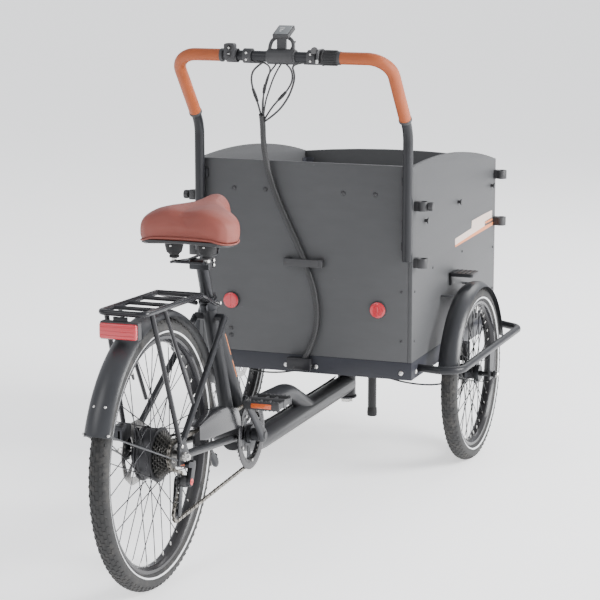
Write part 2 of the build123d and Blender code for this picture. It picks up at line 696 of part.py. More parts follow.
def saddle_frame():
    """Two rails, the rear yoke and two rubber spring blocks under the shell."""
    x, y, z = along_seat_tube(SEAT_TUBE_L + 96)
    low = z + 14.5
    parts = None
    for side in (-1, 1):
        route = [(side * 44, 214, low + 2), (side * 22, y - 34, low), (side * 22, y + 50, low),
                 (side * 9, 408, SADDLE_Z[0] + 4)]
        rail = tube(route, 3.5, [26, 40])
        block_solid = rod((side * 44, 236, low - 6), (side * 44, 232, SADDLE_Z[0] + 3), 21)
        parts = rail + block_solid if parts is None else parts + rail + block_solid
    parts += rod((-44, 234, low), (44, 234, low), 4)
    parts += block((-22, 22), (398, 416), (SADDLE_Z[0] - 2, SADDLE_Z[0] + 6))
    return parts


def saddle():
    """A wide closed shape that narrows to the nose."""
    rows = [(168, 62, 40, 60), (200, 118, 32, 78), (238, 131, 27, 84), (285, 118, 32, 80),
            (335, 72, 36, 76), (385, 42, 39, 74), (432, 30, 42, 66)]
    sections = []
    for y, half, drop, height in rows:
        z = SADDLE_Z[1] - height / 2 - 3
        face = Plane(origin=(0, y, z), x_dir=(1, 0, 0), z_dir=(0, 1, 0)) * RectangleRounded(
            2 * half, height, min(half, height / 2) * 0.8)
        sections.append(face)
    return loft(sections)


# Inside the box
def bench_board():
    y0, y1 = BENCH_Y
    board = block((-286, 286), (y0, y1), (BENCH_Z, BENCH_Z + BOARD))
    barrel = rod((-286, y1 + 8, BENCH_Z), (-120, y1 + 8, BENCH_Z), 5)
    barrel += rod((120, y1 + 8, BENCH_Z), (286, y1 + 8, BENCH_Z), 5)
    board += barrel
    for x in ((-286, -120), (120, 286)):
        board += block(x, (y1 - 1, y1 + 5), (BENCH_Z + 2, BENCH_Z + 5))
    return board - rod((-300, y1 + 8, BENCH_Z), (300, y1 + 8, BENCH_Z), 2.5 + FIT)


def bench_box():
    """Front board and ledges that carry the bench, with the hinge pin."""
    y1 = BENCH_Y[1]
    inner = BOX_HALF - BOARD
    body = block((-inner, inner), (y1 + 14, y1 + 26), (APRON_TOP, BENCH_Z + 6))
    for side in (-1, 1):
        x = sorted((side * inner, side * (inner - 40)))
        body += block(x, (BENCH_Y[0] + 30, y1 + 15), (BENCH_Z - 22, BENCH_Z - SKIP - 6))
        body += block(sorted((side * (288 + SKIP), side * 300)), (y1, y1 + 16), (BENCH_Z - 8, BENCH_Z + 6))
    return body + rod((-296, y1 + 8, BENCH_Z), (296, y1 + 8, BENCH_Z), 2.5)


def bench_cushion():
    y0, y1 = BENCH_Y
    body = block((-276, 276), (y0 + 6, y1 - 8), (BENCH_Z + BOARD, BENCH_Z + BOARD + 42))
    return fillet(body.edges().filter_by(Axis.Z), 24)


def seat_belts():
    """Four straps that hang from the rear panel's bolts."""
    straps = []
    y0 = BOX_REAR + BOARD
    for x in HARNESS_BOLTS:
        strap = block((x - 12, x + 12), (y0 + SKIP, y0 + 2.3), (665, HARNESS_BOLT_Z + 14))
        strap += block((x - 16, x + 16), (y0 + SKIP, y0 + 8), (665, 700))
        straps += both(strap)
    return straps


def battery():
    case = block((-190, 150), (1090, 1300), (APRON_TOP - 3 + SKIP, 470))
    return fillet(case.edges().filter_by(Axis.Z), 18)


os.makedirs("parts", exist_ok=True)
save("main_frame", main_frame())
save("rear_stays", rear_stays())
save("rear_rack", rear_rack())
save("rear_fender", rear_fender())
save("rear_light", rear_light())
save("rear_caliper", rear_caliper())
save("seat_collar", seat_collar())
save("rear_axle", rear_axle())
save("kingpin", rod((0, PIVOT_Y, HEAD_Z[0]), (0, PIVOT_Y, APRON_TOP - BOARD), PIN_R))
save("derailleur", derailleur())
save("chain", chain())
save("chain_cover", chain_cover())
save("frame_cable", cable(FRAME_CABLE, 3))

save("chainring", chainring())
save("crank_arms", crank_arms())
save("pedal_right", pedal(1))
save("pedal_left", pedal(-1))
save("cassette", cassette())
save("upper_pulley", pulley(UPPER_PULLEY))
save("lower_pulley", pulley(LOWER_PULLEY))
save("rear_tyre", wheel_tyre(0, REAR_AXIS, REAR_R))
save("rear_rim", wheel_rim(0, REAR_AXIS, REAR_R, 66.5, 14, 36))
save("rear_hub", rear_hub())

for label, sign in (("left", -1), ("right", 1)):
    save(f"front_{label}_tyre", wheel_tyre(sign * HALF_TRACK, FRONT_AXIS, FRONT_R))
    save(f"front_{label}_wheel", front_rim(sign) + front_hub(sign))

panel = side_panel()
save("side_panel_right", panel)
save("side_panel_left", mirror(panel, Plane.YZ))
save("rear_panel", end_panel(BOX_REAR, REAR_TOP, 0))
save("front_panel", end_panel(BOX_FRONT - BOARD, FRONT_TOP, FRONT_CROWN))
save("box_frame", box_frame())
save("undercarriage", undercarriage())
save("front_axles", *both(front_axle()))
loop, pad = wheel_guard()
save("wheel_guards", *both(loop), *both(pad))
save("front_fenders", *both(front_fender()))

save("handlebar", handlebar())
save("bar_sleeves", *both(bar_sleeve()))
save("brake_housings", *both(bar_controls()))
save("brake_lever_right", brake_lever())
save("brake_lever_left", mirror(brake_lever(), Plane.YZ))
save("display", display())
save("control_pad", control_pad())
save("button_down", button(BUTTON_Z[0]))
save("button_up", button(BUTTON_Z[1]))
save("twist_shifter", twist_shifter())
save("harness", cable(HARNESS, 8))

clips = pole_clips()
save("pole_clips", *[half for clip in clips for half in both(clip)])
save("clamp_knob_right", clamp_knob())
save("clamp_knob_left", mirror(clamp_knob(), Plane.YZ))
save("reflectors", *reflectors())
save("panel_bolts", *panel_bolts())
save("inner_boards", floor_panel(), floor_mat(), bench_box())
save("bench_board", bench_board())
save("bench_cushion", bench_cushion())
save("seat_belts", *seat_belts())
save("battery", battery())

save("seat_post", seat_post())
save("saddle_frame", saddle_frame())
save("saddle", saddle())
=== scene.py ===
# %% [markdown]
# # A box tricycle, finished in Blender
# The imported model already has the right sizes, bodies and joints. This lesson gives it its looks:
# moulded tyres, laced wheels, a sewn saddle, leather grips, cables and powder-coated steel.
# Everything is placed from the frame, in metres, with +Y forward and +Z up.

# %% Load the frame
import random
from math import acos, atan2, cos, pi, radians, sin, sqrt

import bmesh
import bpy
from mathutils import Matrix, Vector


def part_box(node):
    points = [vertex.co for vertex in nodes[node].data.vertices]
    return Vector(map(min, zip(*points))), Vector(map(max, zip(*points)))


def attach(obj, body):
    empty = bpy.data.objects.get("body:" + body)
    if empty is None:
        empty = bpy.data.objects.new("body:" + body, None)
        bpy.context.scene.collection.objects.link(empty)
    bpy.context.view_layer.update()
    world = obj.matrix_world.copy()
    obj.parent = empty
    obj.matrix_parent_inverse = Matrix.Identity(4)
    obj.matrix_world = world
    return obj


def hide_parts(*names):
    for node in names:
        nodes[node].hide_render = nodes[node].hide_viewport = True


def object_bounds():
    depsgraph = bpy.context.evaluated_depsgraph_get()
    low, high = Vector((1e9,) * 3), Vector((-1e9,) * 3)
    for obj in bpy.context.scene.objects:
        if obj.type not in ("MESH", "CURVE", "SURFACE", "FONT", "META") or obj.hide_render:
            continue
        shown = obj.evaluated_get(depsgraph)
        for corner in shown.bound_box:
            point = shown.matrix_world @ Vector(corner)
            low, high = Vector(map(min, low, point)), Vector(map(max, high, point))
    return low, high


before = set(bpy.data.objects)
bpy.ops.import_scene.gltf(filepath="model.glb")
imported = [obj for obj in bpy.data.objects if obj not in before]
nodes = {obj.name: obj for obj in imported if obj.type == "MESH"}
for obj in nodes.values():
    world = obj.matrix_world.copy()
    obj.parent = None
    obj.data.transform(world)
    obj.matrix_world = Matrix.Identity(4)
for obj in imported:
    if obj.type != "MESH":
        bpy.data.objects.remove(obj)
CAD_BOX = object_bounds()
random.seed(7)

# %% [markdown]
# The drawing of this tricycle is dimensioned from the rear axle forward, so a small function
# turns a drawing point in millimetres into a place in the frame.

# %% Reference points
def middle(node):
    low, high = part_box(node)
    return (Vector(low) + Vector(high)) / 2


REAR = middle("rear_tyre")
RIGHT = middle("front_right_tyre")
LEFT = middle("front_left_tyre")
REAR_R = REAR.z
FRONT_R = RIGHT.z
CRANK = middle("chainring")


def at(x, y, z):
    """A drawing point: millimetres from the rear axle's foot, as a vector in metres."""
    return Vector((x / 1000, REAR.y + y / 1000, z / 1000))


print("rear wheel", round(REAR_R, 3), "front wheels", round(FRONT_R, 3), "crank",
      tuple(round(v, 3) for v in CRANK))

# %% [markdown]
# Node trees are easier to read as sums than as wires. `Tone` wraps one output socket, and its
# operators add Math nodes, so `noise * 0.2 + 0.4` is a roughness. `Wiring.add` makes any other
# node from its type, its settings and the values or links of its sockets. The same two classes
# serve the materials and the Geometry Nodes trees.

# %% A small language for node trees
class Tone:
    """One output socket, usable in plain arithmetic."""

    def __init__(self, wiring, socket):
        self.wiring, self.socket = wiring, socket

    def math(self, operation, *values):
        return self.wiring.add("ShaderNodeMath", {"operation": operation}, dict(enumerate(values)))

    def sine(self):
        return self.math("SINE", self)

    def root(self):
        return self.math("SQRT", self)

    def __add__(self, other):
        return self.math("ADD", self, other)

    def __sub__(self, other):
        return self.math("SUBTRACT", self, other)

    def __rsub__(self, other):
        return self.math("SUBTRACT", other, self)

    def __mul__(self, other):
        return self.math("MULTIPLY", self, other)

    def __truediv__(self, other):
        return self.math("DIVIDE", self, other)

    def __mod__(self, other):
        return self.math("FLOORED_MODULO", self, other)

    def __gt__(self, other):
        return self.math("GREATER_THAN", self, other)

    def __lt__(self, other):
        return self.math("LESS_THAN", self, other)

    __radd__, __rmul__ = __add__, __mul__


class Wiring:
    """Adds nodes to a tree and joins them up."""

    def __init__(self, tree):
        self.tree = tree

    def add(self, kind, settings=None, inputs=None, output=0):
        node = self.tree.nodes.new(kind)
        for key, value in (settings or {}).items():
            if key == "stops":
                ramp = node.color_ramp
                for stop, (place, tint) in zip(ramp.elements, value):
                    stop.position, stop.color = place, (*tint, 1)
            else:
                setattr(node, key, value)
        for key, value in (inputs or {}).items():
            if isinstance(value, Tone):
                self.tree.links.new(value.socket, node.inputs[key])
            else:
                node.inputs[key].default_value = value
        return Tone(self, node.outputs[output])


print("wiring ready")

# %% [markdown]
# Every finish here starts from one recipe: a Principled shader whose colour drifts between two
# shades, whose roughness varies a little, and whose surface has a fine bump at its real scale.
# Patterns read Object coordinates, because each piece keeps its place in its mesh and its object
# at the origin, so nothing slides when the parts move.

# %% Material recipe
class Finish(Wiring):
    """A material under construction, with the patterns that the finishes share."""

    def __init__(self, name):
        self.material = bpy.data.materials.new(name)
        self.material.use_nodes = True
        super().__init__(self.material.node_tree)
        self.tree.nodes.clear()
        self.place = self.add("ShaderNodeTexCoord", output="Object")

    def noise(self, scale, detail=3.0, rough=0.55, stretch=None):
        place = self.place
        if stretch:
            place = self.add("ShaderNodeMapping", inputs={"Vector": place, "Scale": stretch})
        return self.add("ShaderNodeTexNoise", inputs={
            "Vector": place, "Scale": scale, "Detail": detail, "Roughness": rough})

    def cells(self, scale, feature="F1", output="Distance"):
        return self.add("ShaderNodeTexVoronoi", {"feature": feature}, {
            "Vector": self.place, "Scale": scale}, output)

    def axis(self, name):
        split = self.tree.nodes.new("ShaderNodeSeparateXYZ")
        self.tree.links.new(self.place.socket, split.inputs[0])
        return Tone(self, split.outputs["XYZ".index(name)])

    def mix(self, share, low, high):
        pad = lambda tint: tint if isinstance(tint, Tone) else (*tint, 1)
        node = self.add("ShaderNodeMix", {"data_type": "RGBA"}, {0: share, 6: pad(low), 7: pad(high)}, 2)
        return node

    def ramp(self, value, low, high):
        """0 below low, 1 above high, and smooth between."""
        return self.add("ShaderNodeMapRange", {"interpolation_type": "SMOOTHSTEP"}, {
            "Value": value, "From Min": low, "From Max": high})

    def shade(self, tint, rough, metal=0.0, height=None, depth=0.0004, strength=0.5, coat=0.0, **sockets):
        inputs = {"Base Color": tint if isinstance(tint, Tone) else (*tint, 1), "Roughness": rough,
                  "Metallic": metal, "Coat Weight": coat}
        if height is not None:
            inputs["Normal"] = self.add("ShaderNodeBump", inputs={
                "Height": height, "Distance": depth, "Strength": strength})
        inputs.update({key.replace("_", " "): value for key, value in sockets.items()})
        body = self.add("ShaderNodeBsdfPrincipled", inputs=inputs)
        end = self.tree.nodes.new("ShaderNodeOutputMaterial")
        self.tree.links.new(body.socket, end.inputs["Surface"])
        return self.material


print("recipe ready")

# %% [markdown]
# Powder coat is a satin skin with a faint orange peel and a little road dust low on the frame.
# Film-faced board is denser and greyer, printed with a fine speckle over long soft wood figure.

# %% Painted and panelled finishes
def powder_coat(name, tint, rough=0.38, peel=520.0):
    f = Finish(name)
    peel_noise = f.noise(peel, 2.0)
    drift = f.noise(7.0, 4.0)
    scuff = f.ramp(f.noise(90.0, 6.0, 0.7, (1, 0.25, 1)), 0.62, 0.72)
    dust = f.ramp(f.axis("Z") * -1 + f.noise(5.0) * 0.25, -0.30, 0.05)
    light = tuple(min(1.0, c * 1.4 + 0.004) for c in tint)
    shade = f.mix(drift, tint, light)
    shade = f.mix(scuff * 0.14, shade, (0.12, 0.12, 0.125))
    shade = f.mix(dust * 0.07, shade, (0.15, 0.14, 0.125))
    return f.shade(shade, drift * 0.12 + scuff * 0.2 + (rough - 0.06), height=peel_noise, depth=0.00012,
                   coat=0.04, Coat_Roughness=0.2, Specular_IOR_Level=0.26)


def film_board(name, tint):
    f = Finish(name)
    speckle = f.noise(1500.0, 2.0, 0.7)
    figure = f.noise(16.0, 6.0, 0.6, (1, 0.12, 3.0))
    scuff = f.ramp(f.noise(38.0, 7.0, 0.75, (0.4, 1, 1)), 0.66, 0.78)
    grain = f.mix(figure, tuple(c * 0.86 for c in tint), tuple(c * 1.16 for c in tint))
    shade = f.mix(speckle * 0.35, grain, tuple(c * 1.5 for c in tint))
    shade = f.mix(scuff * 0.2, shade, (0.30, 0.30, 0.30))
    return f.shade(shade, speckle * 0.18 + scuff * 0.12 + 0.44, height=speckle + figure * 0.6, depth=0.00018,
                   Specular_IOR_Level=0.42)


M = {}
M["paint"] = powder_coat("black_powder_coat", (0.012, 0.0125, 0.0145))
M["apron"] = powder_coat("grey_powder_coat", (0.020, 0.021, 0.027), 0.46)
M["gloss_black"] = powder_coat("gloss_black_steel", (0.012, 0.012, 0.014), 0.22, 300.0)
M["board"] = film_board("film_faced_board", (0.052, 0.053, 0.055))
M["inner_board"] = film_board("dark_inner_board", (0.020, 0.0205, 0.022))
print("painted finishes", len(M))

# %% [markdown]
# Rubber, plastic and metal differ mostly in bump and gloss. A tyre is matt, browned by dust on
# its crown and finely ribbed on its wall. Machined steel has rings of turning marks, so it is the
# distance from the axle that is fed to the wave, which only needs the piece's own coordinates.

# %% Rubber, plastic and metal finishes
def rubber(name, tint, dust=0.35):
    f = Finish(name)
    dirt = f.ramp(f.noise(34.0, 6.0, 0.7), 0.45, 0.75)
    grit = f.noise(900.0, 3.0)
    shade = f.mix(dirt * dust, tint, (0.13, 0.12, 0.108))
    return f.shade(shade, dirt * 0.12 + 0.66, height=grit, depth=0.0003, Specular_IOR_Level=0.35)


def moulded(name, tint, rough=0.45, grain=1400.0, depth=0.00015):
    f = Finish(name)
    pebble = f.cells(grain)
    drift = f.noise(14.0, 4.0)
    shade = f.mix(drift, tuple(c * 0.8 for c in tint), tuple(c * 1.25 + 0.006 for c in tint))
    return f.shade(shade, drift * 0.14 + (rough - 0.07), height=pebble, depth=depth)


def metal(name, tint, rough=0.3, brush=(1, 1, 1), scale=260.0, grease=0.0):
    f = Finish(name)
    marks = f.noise(scale, 5.0, 0.7, brush)
    film = f.ramp(f.noise(46.0, 5.0, 0.65), 0.42, 0.7)
    shade = f.mix(marks, tuple(c * 0.78 for c in tint), tint)
    shade = f.mix(film * grease, shade, (0.035, 0.03, 0.024))
    return f.shade(shade, marks * 0.18 + film * 0.12 + (rough - 0.1), 1.0, marks, 0.00006)


def ring_patterned(name, tint, centre, pitch, rough=0.35):
    """Turned metal: fine rings about an axle that runs along X."""
    f = Finish(name)
    y, z = f.axis("Y") - centre.y, f.axis("Z") - centre.z
    radius = (y * y + z * z).root()
    rings = (radius * (2 * pi / pitch)).sine()
    marks = f.noise(120.0, 5.0)
    shade = f.mix(rings * 0.25 + marks * 0.5, tuple(c * 0.7 for c in tint), tint)
    return f.shade(shade, marks * 0.2 + (rough - 0.08), 1.0, rings, 0.00004)


M["tyre"] = rubber("tyre_rubber", (0.022, 0.022, 0.022))
M["soft_rubber"] = rubber("soft_rubber", (0.02, 0.02, 0.021), 0.1)
M["cable"] = moulded("cable_sheath", (0.018, 0.018, 0.019), 0.4, 700.0)
M["plastic"] = moulded("grained_plastic", (0.028, 0.028, 0.030), 0.5)
M["smooth_plastic"] = moulded("smooth_plastic", (0.02, 0.02, 0.022), 0.16, 500.0, 0.00003)
M["fender"] = moulded("mudguard_plastic", (0.022, 0.023, 0.026), 0.34, 900.0, 0.00006)
M["black_metal"] = metal("black_anodised", (0.055, 0.056, 0.06), 0.38)
M["spoke"] = metal("black_spoke", (0.035, 0.035, 0.037), 0.34)
M["steel"] = metal("bright_steel", (0.62, 0.61, 0.59), 0.28)
M["zinc"] = metal("zinc_plated", (0.72, 0.71, 0.69), 0.36)
M["chain"] = metal("oiled_chain", (0.33, 0.31, 0.28), 0.34, grease=0.7)
M["cog"] = ring_patterned("turned_cog", (0.20, 0.195, 0.185), REAR, 0.0011)
M["rotor"] = ring_patterned("ground_rotor", (0.52, 0.51, 0.5), REAR, 0.0006, 0.3)
print("finishes so far", len(M))

# %% [markdown]
# The saddle is covered in a soft vinyl with a leather grain: small cells pressed into the skin,
# drawn as the distance to their edges, over slow creases. The grips use the same grain, finer.
# Webbing and the bench fabric are woven, so two waves at right angles raise the threads.

# %% Leather and cloth finishes
def leather(name, tint, cell, rough=0.5):
    f = Finish(name)
    pores = f.cells(cell, "DISTANCE_TO_EDGE", "Distance")
    crease = f.noise(55.0, 5.0, 0.6)
    drift = f.noise(11.0, 3.0)
    worn = f.ramp(f.noise(24.0, 6.0, 0.7), 0.55, 0.8)
    shade = f.mix(drift, tuple(c * 0.86 for c in tint), tuple(min(1, c * 1.14) for c in tint))
    shade = f.mix(worn * 0.18, shade, tuple(min(1, c * 1.35 + 0.02) for c in tint))
    shade = f.mix(f.ramp(pores, 0.0, 0.09) * -0.22 + 0.22, shade, tuple(c * 0.5 for c in tint))
    return f.shade(shade, drift * 0.12 + worn * 0.1 + (rough - 0.08),
                   height=f.ramp(pores, 0.0, 0.16) + crease * 0.5,
                   depth=0.00035, Specular_IOR_Level=0.35)


def woven(name, tint, pitch, rough=0.85):
    f = Finish(name)
    turns = 2 * pi / pitch
    warp = (f.axis("X") * turns).sine()
    fill = (f.axis("Y") * turns + f.axis("Z") * turns).sine()
    weave = warp * fill
    fuzz = f.noise(420.0, 4.0)
    shade = f.mix(weave * 0.35 + 0.5, tuple(c * 0.6 for c in tint), tuple(c * 1.35 + 0.004 for c in tint))
    shade = f.mix(fuzz * 0.3, shade, tuple(c * 1.9 + 0.01 for c in tint))
    return f.shade(shade, fuzz * 0.1 + (rough - 0.05), height=weave + fuzz * 0.5, depth=0.0003,
                   Sheen_Weight=0.3, Sheen_Roughness=0.4)


M["saddle"] = leather("terracotta_vinyl", (0.24, 0.062, 0.046), 620.0, 0.46)
M["grip"] = leather("tan_grip_leather", (0.36, 0.082, 0.022), 900.0, 0.42)
M["thread"] = woven("waxed_thread", (0.50, 0.22, 0.12), 0.0008)
M["webbing"] = woven("black_webbing", (0.022, 0.022, 0.025), 0.0022)
M["cushion"] = woven("grey_cushion_cloth", (0.05, 0.052, 0.056), 0.0018)
print("finishes with leather and cloth", len(M))

# %% [markdown]
# A reflector is moulded in small prisms behind a clear face. From outside it reads as a bright
# lens with a fine lattice. The lattice drives the bump, and the colour carries it as a painted reflection.

# %% Lens, screen and stripe finishes
def prism_lens(name, tint, pitch=0.0036):
    f = Finish(name)
    turns = 2 * pi / pitch
    lattice = (f.axis("X") * turns + f.axis("Y") * turns).sine()
    cross = (f.axis("Z") * turns).sine()
    facets_and_glints = lattice * cross
    # The lattice's bright and dark cells in the colour are a painted reflection of the prisms; the bump is
    # the real moulding.
    shade = f.mix(facets_and_glints * 0.5 + 0.5, tuple(c * 0.42 for c in tint), tint)
    return f.shade(shade, facets_and_glints * 0.05 + 0.16, height=facets_and_glints, depth=0.0003, coat=0.8, Coat_Roughness=0.06)


def printed(name, tint, rough=0.5, patch=0.0):
    f = Finish(name)
    wear = f.ramp(f.noise(160.0, 6.0, 0.75), 0.60, 0.72)
    drift = f.noise(28.0, 3.0)
    shade = f.mix(drift, tuple(c * 0.85 for c in tint), tint)
    shade = f.mix(wear * patch, shade, (0.03, 0.03, 0.032))
    return f.shade(shade, drift * 0.15 + (rough - 0.08), height=drift, depth=0.00005)


M["red"] = prism_lens("red_prism_lens", (0.72, 0.012, 0.03))
M["amber"] = prism_lens("amber_prism_lens", (0.90, 0.14, 0.012), 0.0028)
M["reflex"] = printed("reflective_band", (0.74, 0.75, 0.76), 0.4, 0.25)
M["orange_print"] = printed("orange_print", (0.62, 0.20, 0.07), 0.5, 0.5)
M["beige_print"] = printed("beige_print", (0.62, 0.50, 0.44), 0.5, 0.25)
M["white_print"] = printed("white_print", (0.8, 0.8, 0.78), 0.4, 0.15)
M["screen"] = moulded("screen_glass", (0.16, 0.17, 0.175), 0.12, 300.0, 0.00001)
M["red_print"] = printed("red_print", (0.72, 0.03, 0.03), 0.4)
print("finishes", len(M))

# %% [markdown]
# Most pieces are made by four small mesh makers. `solid` turns points and faces into an object.
# `turned` spins a profile of (x, radius) pairs about an axle, as a lathe would. `pipe` bends a
# round bar through points. `eased` copies a CAD part and rounds its edges, so they catch light.

# %% Mesh makers
def finish_mesh(mesh, finish, angle=35):
    mesh.materials.clear()
    mesh.materials.append(finish)
    mesh.shade_smooth()
    mesh.set_sharp_from_angle(angle=radians(angle))
    return mesh


def as_object(name, mesh):
    obj = bpy.data.objects.new(name, mesh)
    bpy.context.scene.collection.objects.link(obj)
    return obj


def solid(name, points, faces, finish, angle=35):
    mesh = bpy.data.meshes.new(name)
    mesh.from_pydata([tuple(p) for p in points], [], faces)
    form = bmesh.new()
    form.from_mesh(mesh)
    bmesh.ops.remove_doubles(form, verts=form.verts, dist=1e-6)
    bmesh.ops.recalc_face_normals(form, faces=form.faces)
    form.to_mesh(mesh)
    form.free()
    return as_object(name, finish_mesh(mesh, finish, angle))


def turned(name, profile, centre, finish, segments=96, closed=True, angle=35):
    """A profile of (x, radius) in metres, spun about the axle through centre."""
    points, faces, count = [], [], len(profile)
    for i in range(segments):
        a = 2 * pi * i / segments
        for x, radius in profile:
            points.append((centre.x + x, centre.y + radius * cos(a), centre.z + radius * sin(a)))
    last = count if closed else count - 1
    for i in range(segments):
        for k in range(last):
            a, b = i * count + k, i * count + (k + 1) % count
            c, d = (i + 1) % segments * count + (k + 1) % count, (i + 1) % segments * count + k
            faces.append((a, b, c, d))
    return solid(name, points, faces, finish, angle)


def flip(profile, side):
    return [(x * side, radius) for x, radius in profile]


def plain_mesh(obj):
    """The object's shape with its modifiers, as a new mesh."""
    graph = bpy.context.evaluated_depsgraph_get()
    return bpy.data.meshes.new_from_object(obj.evaluated_get(graph))


def settle(obj):
    """Applies what is on the object, and leaves a plain mesh."""
    mesh = plain_mesh(obj)
    obj.modifiers.clear()
    obj.data = mesh
    return obj


def route(points, smooth=True, closed=False, order=3):
    """A curve's data through points: smooth, or straight runs."""
    data = bpy.data.curves.new("route", "CURVE")
    data.dimensions = "3D"
    line = data.splines.new("NURBS" if smooth else "POLY")
    line.points.add(len(points) - 1)
    for knot, p in zip(line.points, points):
        knot.co = (*p, 1)
    line.use_cyclic_u = closed
    if smooth:
        line.order_u = order
        line.use_endpoint_u = not closed
        data.resolution_u = 10
    return data


def pipe(name, points, radius, finish, smooth=True, closed=False, order=3, rings=4, angle=40):
    data = route(points, smooth, closed, order)
    data.bevel_depth = radius
    data.bevel_resolution = rings
    data.use_fill_caps = True
    holder = as_object(name + "_line", data)
    mesh = plain_mesh(holder)
    bpy.data.objects.remove(holder)
    return as_object(name, finish_mesh(mesh, finish, angle))


def eased(name, node, finish, width=0.0012, segments=2, angle=35, keep=None):
    """A CAD part's copy with rounded edges."""
    mesh = nodes[node].data.copy()
    form = bmesh.new()
    form.from_mesh(mesh)
    bmesh.ops.remove_doubles(form, verts=form.verts, dist=1e-5)
    bmesh.ops.dissolve_limit(form, angle_limit=radians(0.8), verts=form.verts, edges=form.edges)
    form.to_mesh(mesh)
    form.free()
    obj = as_object(name, mesh)
    bevel = obj.modifiers.new("ease", "BEVEL")
    bevel.width, bevel.segments = width, segments
    bevel.limit_method, bevel.angle_limit = "ANGLE", radians(angle)
    bevel.use_clamp_overlap = True
    settle(obj)
    finish_mesh(obj.data, finish, 32)
    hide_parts(node)
    return obj


def joined(name, *objs):
    """Several meshes as one piece. Each keeps its finish."""
    form = bmesh.new()
    finishes = []
    for obj in objs:
        slots = []
        for finish in obj.data.materials:
            if finish not in finishes:
                finishes.append(finish)
            slots.append(finishes.index(finish))
        start = len(form.faces)
        form.from_mesh(obj.data)
        form.faces.ensure_lookup_table()
        for face in form.faces[start:]:
            face.material_index = slots[min(face.material_index, len(slots) - 1)]
    mesh = bpy.data.meshes.new(name)
    form.to_mesh(mesh)
    form.free()
    for finish in finishes:
        mesh.materials.append(finish)
    for obj in objs:
        bpy.data.objects.remove(obj)
    return as_object(name, mesh)


def block(name, low, high, finish, ease=0.0012, segments=2):
    """A cast or moulded block with rounded edges, from its two corners."""
    (x0, y0, z0), (x1, y1, z1) = low, high
    points = [(x, y, z) for x in (x0, x1) for y in (y0, y1) for z in (z0, z1)]
    faces = [(0, 1, 3, 2), (4, 6, 7, 5), (0, 4, 5, 1), (2, 3, 7, 6), (0, 2, 6, 4), (1, 5, 7, 3)]
    obj = solid(name, points, faces, finish)
    bevel = obj.modifiers.new("ease", "BEVEL")
    bevel.width, bevel.segments = ease, segments
    settle(obj)
    finish_mesh(obj.data, finish, 50)
    return obj


print("makers ready")

# %% [markdown]
# Two Geometry Nodes trees do the repeating. One lays parts in a ring about an axle: tread
# blocks, spokes, nipples and bolts. One lays parts along a path: chain links, stitches and the
# ribs of a cable sleeve. Each ends in Realize Instances and Set Material, and the result is
# baked to a plain mesh, so nothing live is left on the piece.

# %% Geometry Nodes helpers
class Net(Wiring):
    """A Geometry Nodes tree with named inputs."""

    def __init__(self, name, inputs):
        tree = bpy.data.node_groups.new(name, "GeometryNodeTree")
        tree.interface.new_socket(name="Geometry", in_out="OUTPUT", socket_type="NodeSocketGeometry")
        for label, kind in inputs.items():
            tree.interface.new_socket(name=label, in_out="INPUT", socket_type="NodeSocket" + kind)
        super().__init__(tree)
        self.start = tree.nodes.new("NodeGroupInput")

    def given(self, label):
        return Tone(self, self.start.outputs[label])

    def close(self, geometry):
        real = self.add("GeometryNodeRealizeInstances", inputs={"Geometry": geometry})
        done = self.add("GeometryNodeSetMaterial",
                        inputs={"Geometry": real, "Material": self.given("Material")})
        end = self.tree.nodes.new("NodeGroupOutput")
        self.tree.links.new(done.socket, end.inputs["Geometry"])
        return self.tree


def grown(name, tree, finish, angle=35, keep_parts=False, **inputs):
    """Runs a tree with its inputs and keeps the result as a plain mesh piece."""
    holder = as_object(name + "_holder", bpy.data.meshes.new(name))
    modifier = holder.modifiers.new("grow", "NODES")
    modifier.node_group = tree
    keys = {item.name: item.identifier for item in tree.interface.items_tree if item.in_out == "INPUT"}
    for label, value in {**inputs, "Material": finish}.items():
        modifier[keys[label.replace("_", " ")]] = value
    mesh = plain_mesh(holder)
    bpy.data.objects.remove(holder)
    for value in inputs.values():
        if isinstance(value, bpy.types.Object) and not keep_parts:
            bpy.data.objects.remove(value)
    return as_object(name, finish_mesh(mesh, finish, angle))


def ring_tree():
    """Lays a part round an axle along X. The part is drawn at the ring's +Y side."""
    net = Net("ring of parts", {"Part": "Object", "Count": "Int", "Phase": "Float", "Centre": "Vector",
                                "Material": "Material"})
    spots = net.add("GeometryNodePoints", inputs={"Count": net.given("Count"), "Position": (0, 0, 0)})
    turn = net.add("GeometryNodeInputIndex") * (2 * pi) / net.given("Count") + net.given("Phase")
    spin = net.add("ShaderNodeCombineXYZ", inputs={"X": turn})
    part = net.add("GeometryNodeObjectInfo", inputs={"Object": net.given("Part")}, output="Geometry")
    laid = net.add("GeometryNodeInstanceOnPoints",
                   inputs={"Points": spots, "Instance": part, "Rotation": spin})
    centred = net.add("GeometryNodeTransform", inputs={"Geometry": laid, "Translation": net.given("Centre")})
    return net.close(centred)


def path_tree():
    """Lays a part along a path at even steps, its Z axis along the path."""
    net = Net("parts along a path", {"Part": "Object", "Path": "Object", "Count": "Int", "Offset": "Float",
                                     "Every": "Int", "Material": "Material"})
    path = net.add("GeometryNodeObjectInfo", inputs={"Object": net.given("Path")}, output="Geometry")
    spots = net.add("GeometryNodeCurveToPoints", {"mode": "COUNT"},
                    {"Curve": path, "Count": net.given("Count")})
    node = spots.socket.node
    chosen = (net.add("GeometryNodeInputIndex") + net.given("Offset")) % net.given("Every") < 0.5
    lined = net.add("FunctionNodeAlignRotationToVector", {"axis": "Z", "pivot_axis": "AUTO"}, {
        "Vector": Tone(net, node.outputs["Tangent"])})
    part = net.add("GeometryNodeObjectInfo", inputs={"Object": net.given("Part")}, output="Geometry")
    laid = net.add("GeometryNodeInstanceOnPoints", inputs={
        "Points": spots, "Instance": part, "Rotation": lined, "Selection": chosen})
    return net.close(laid)


RING, PATH = ring_tree(), path_tree()
print("trees", RING.name, "and", PATH.name)

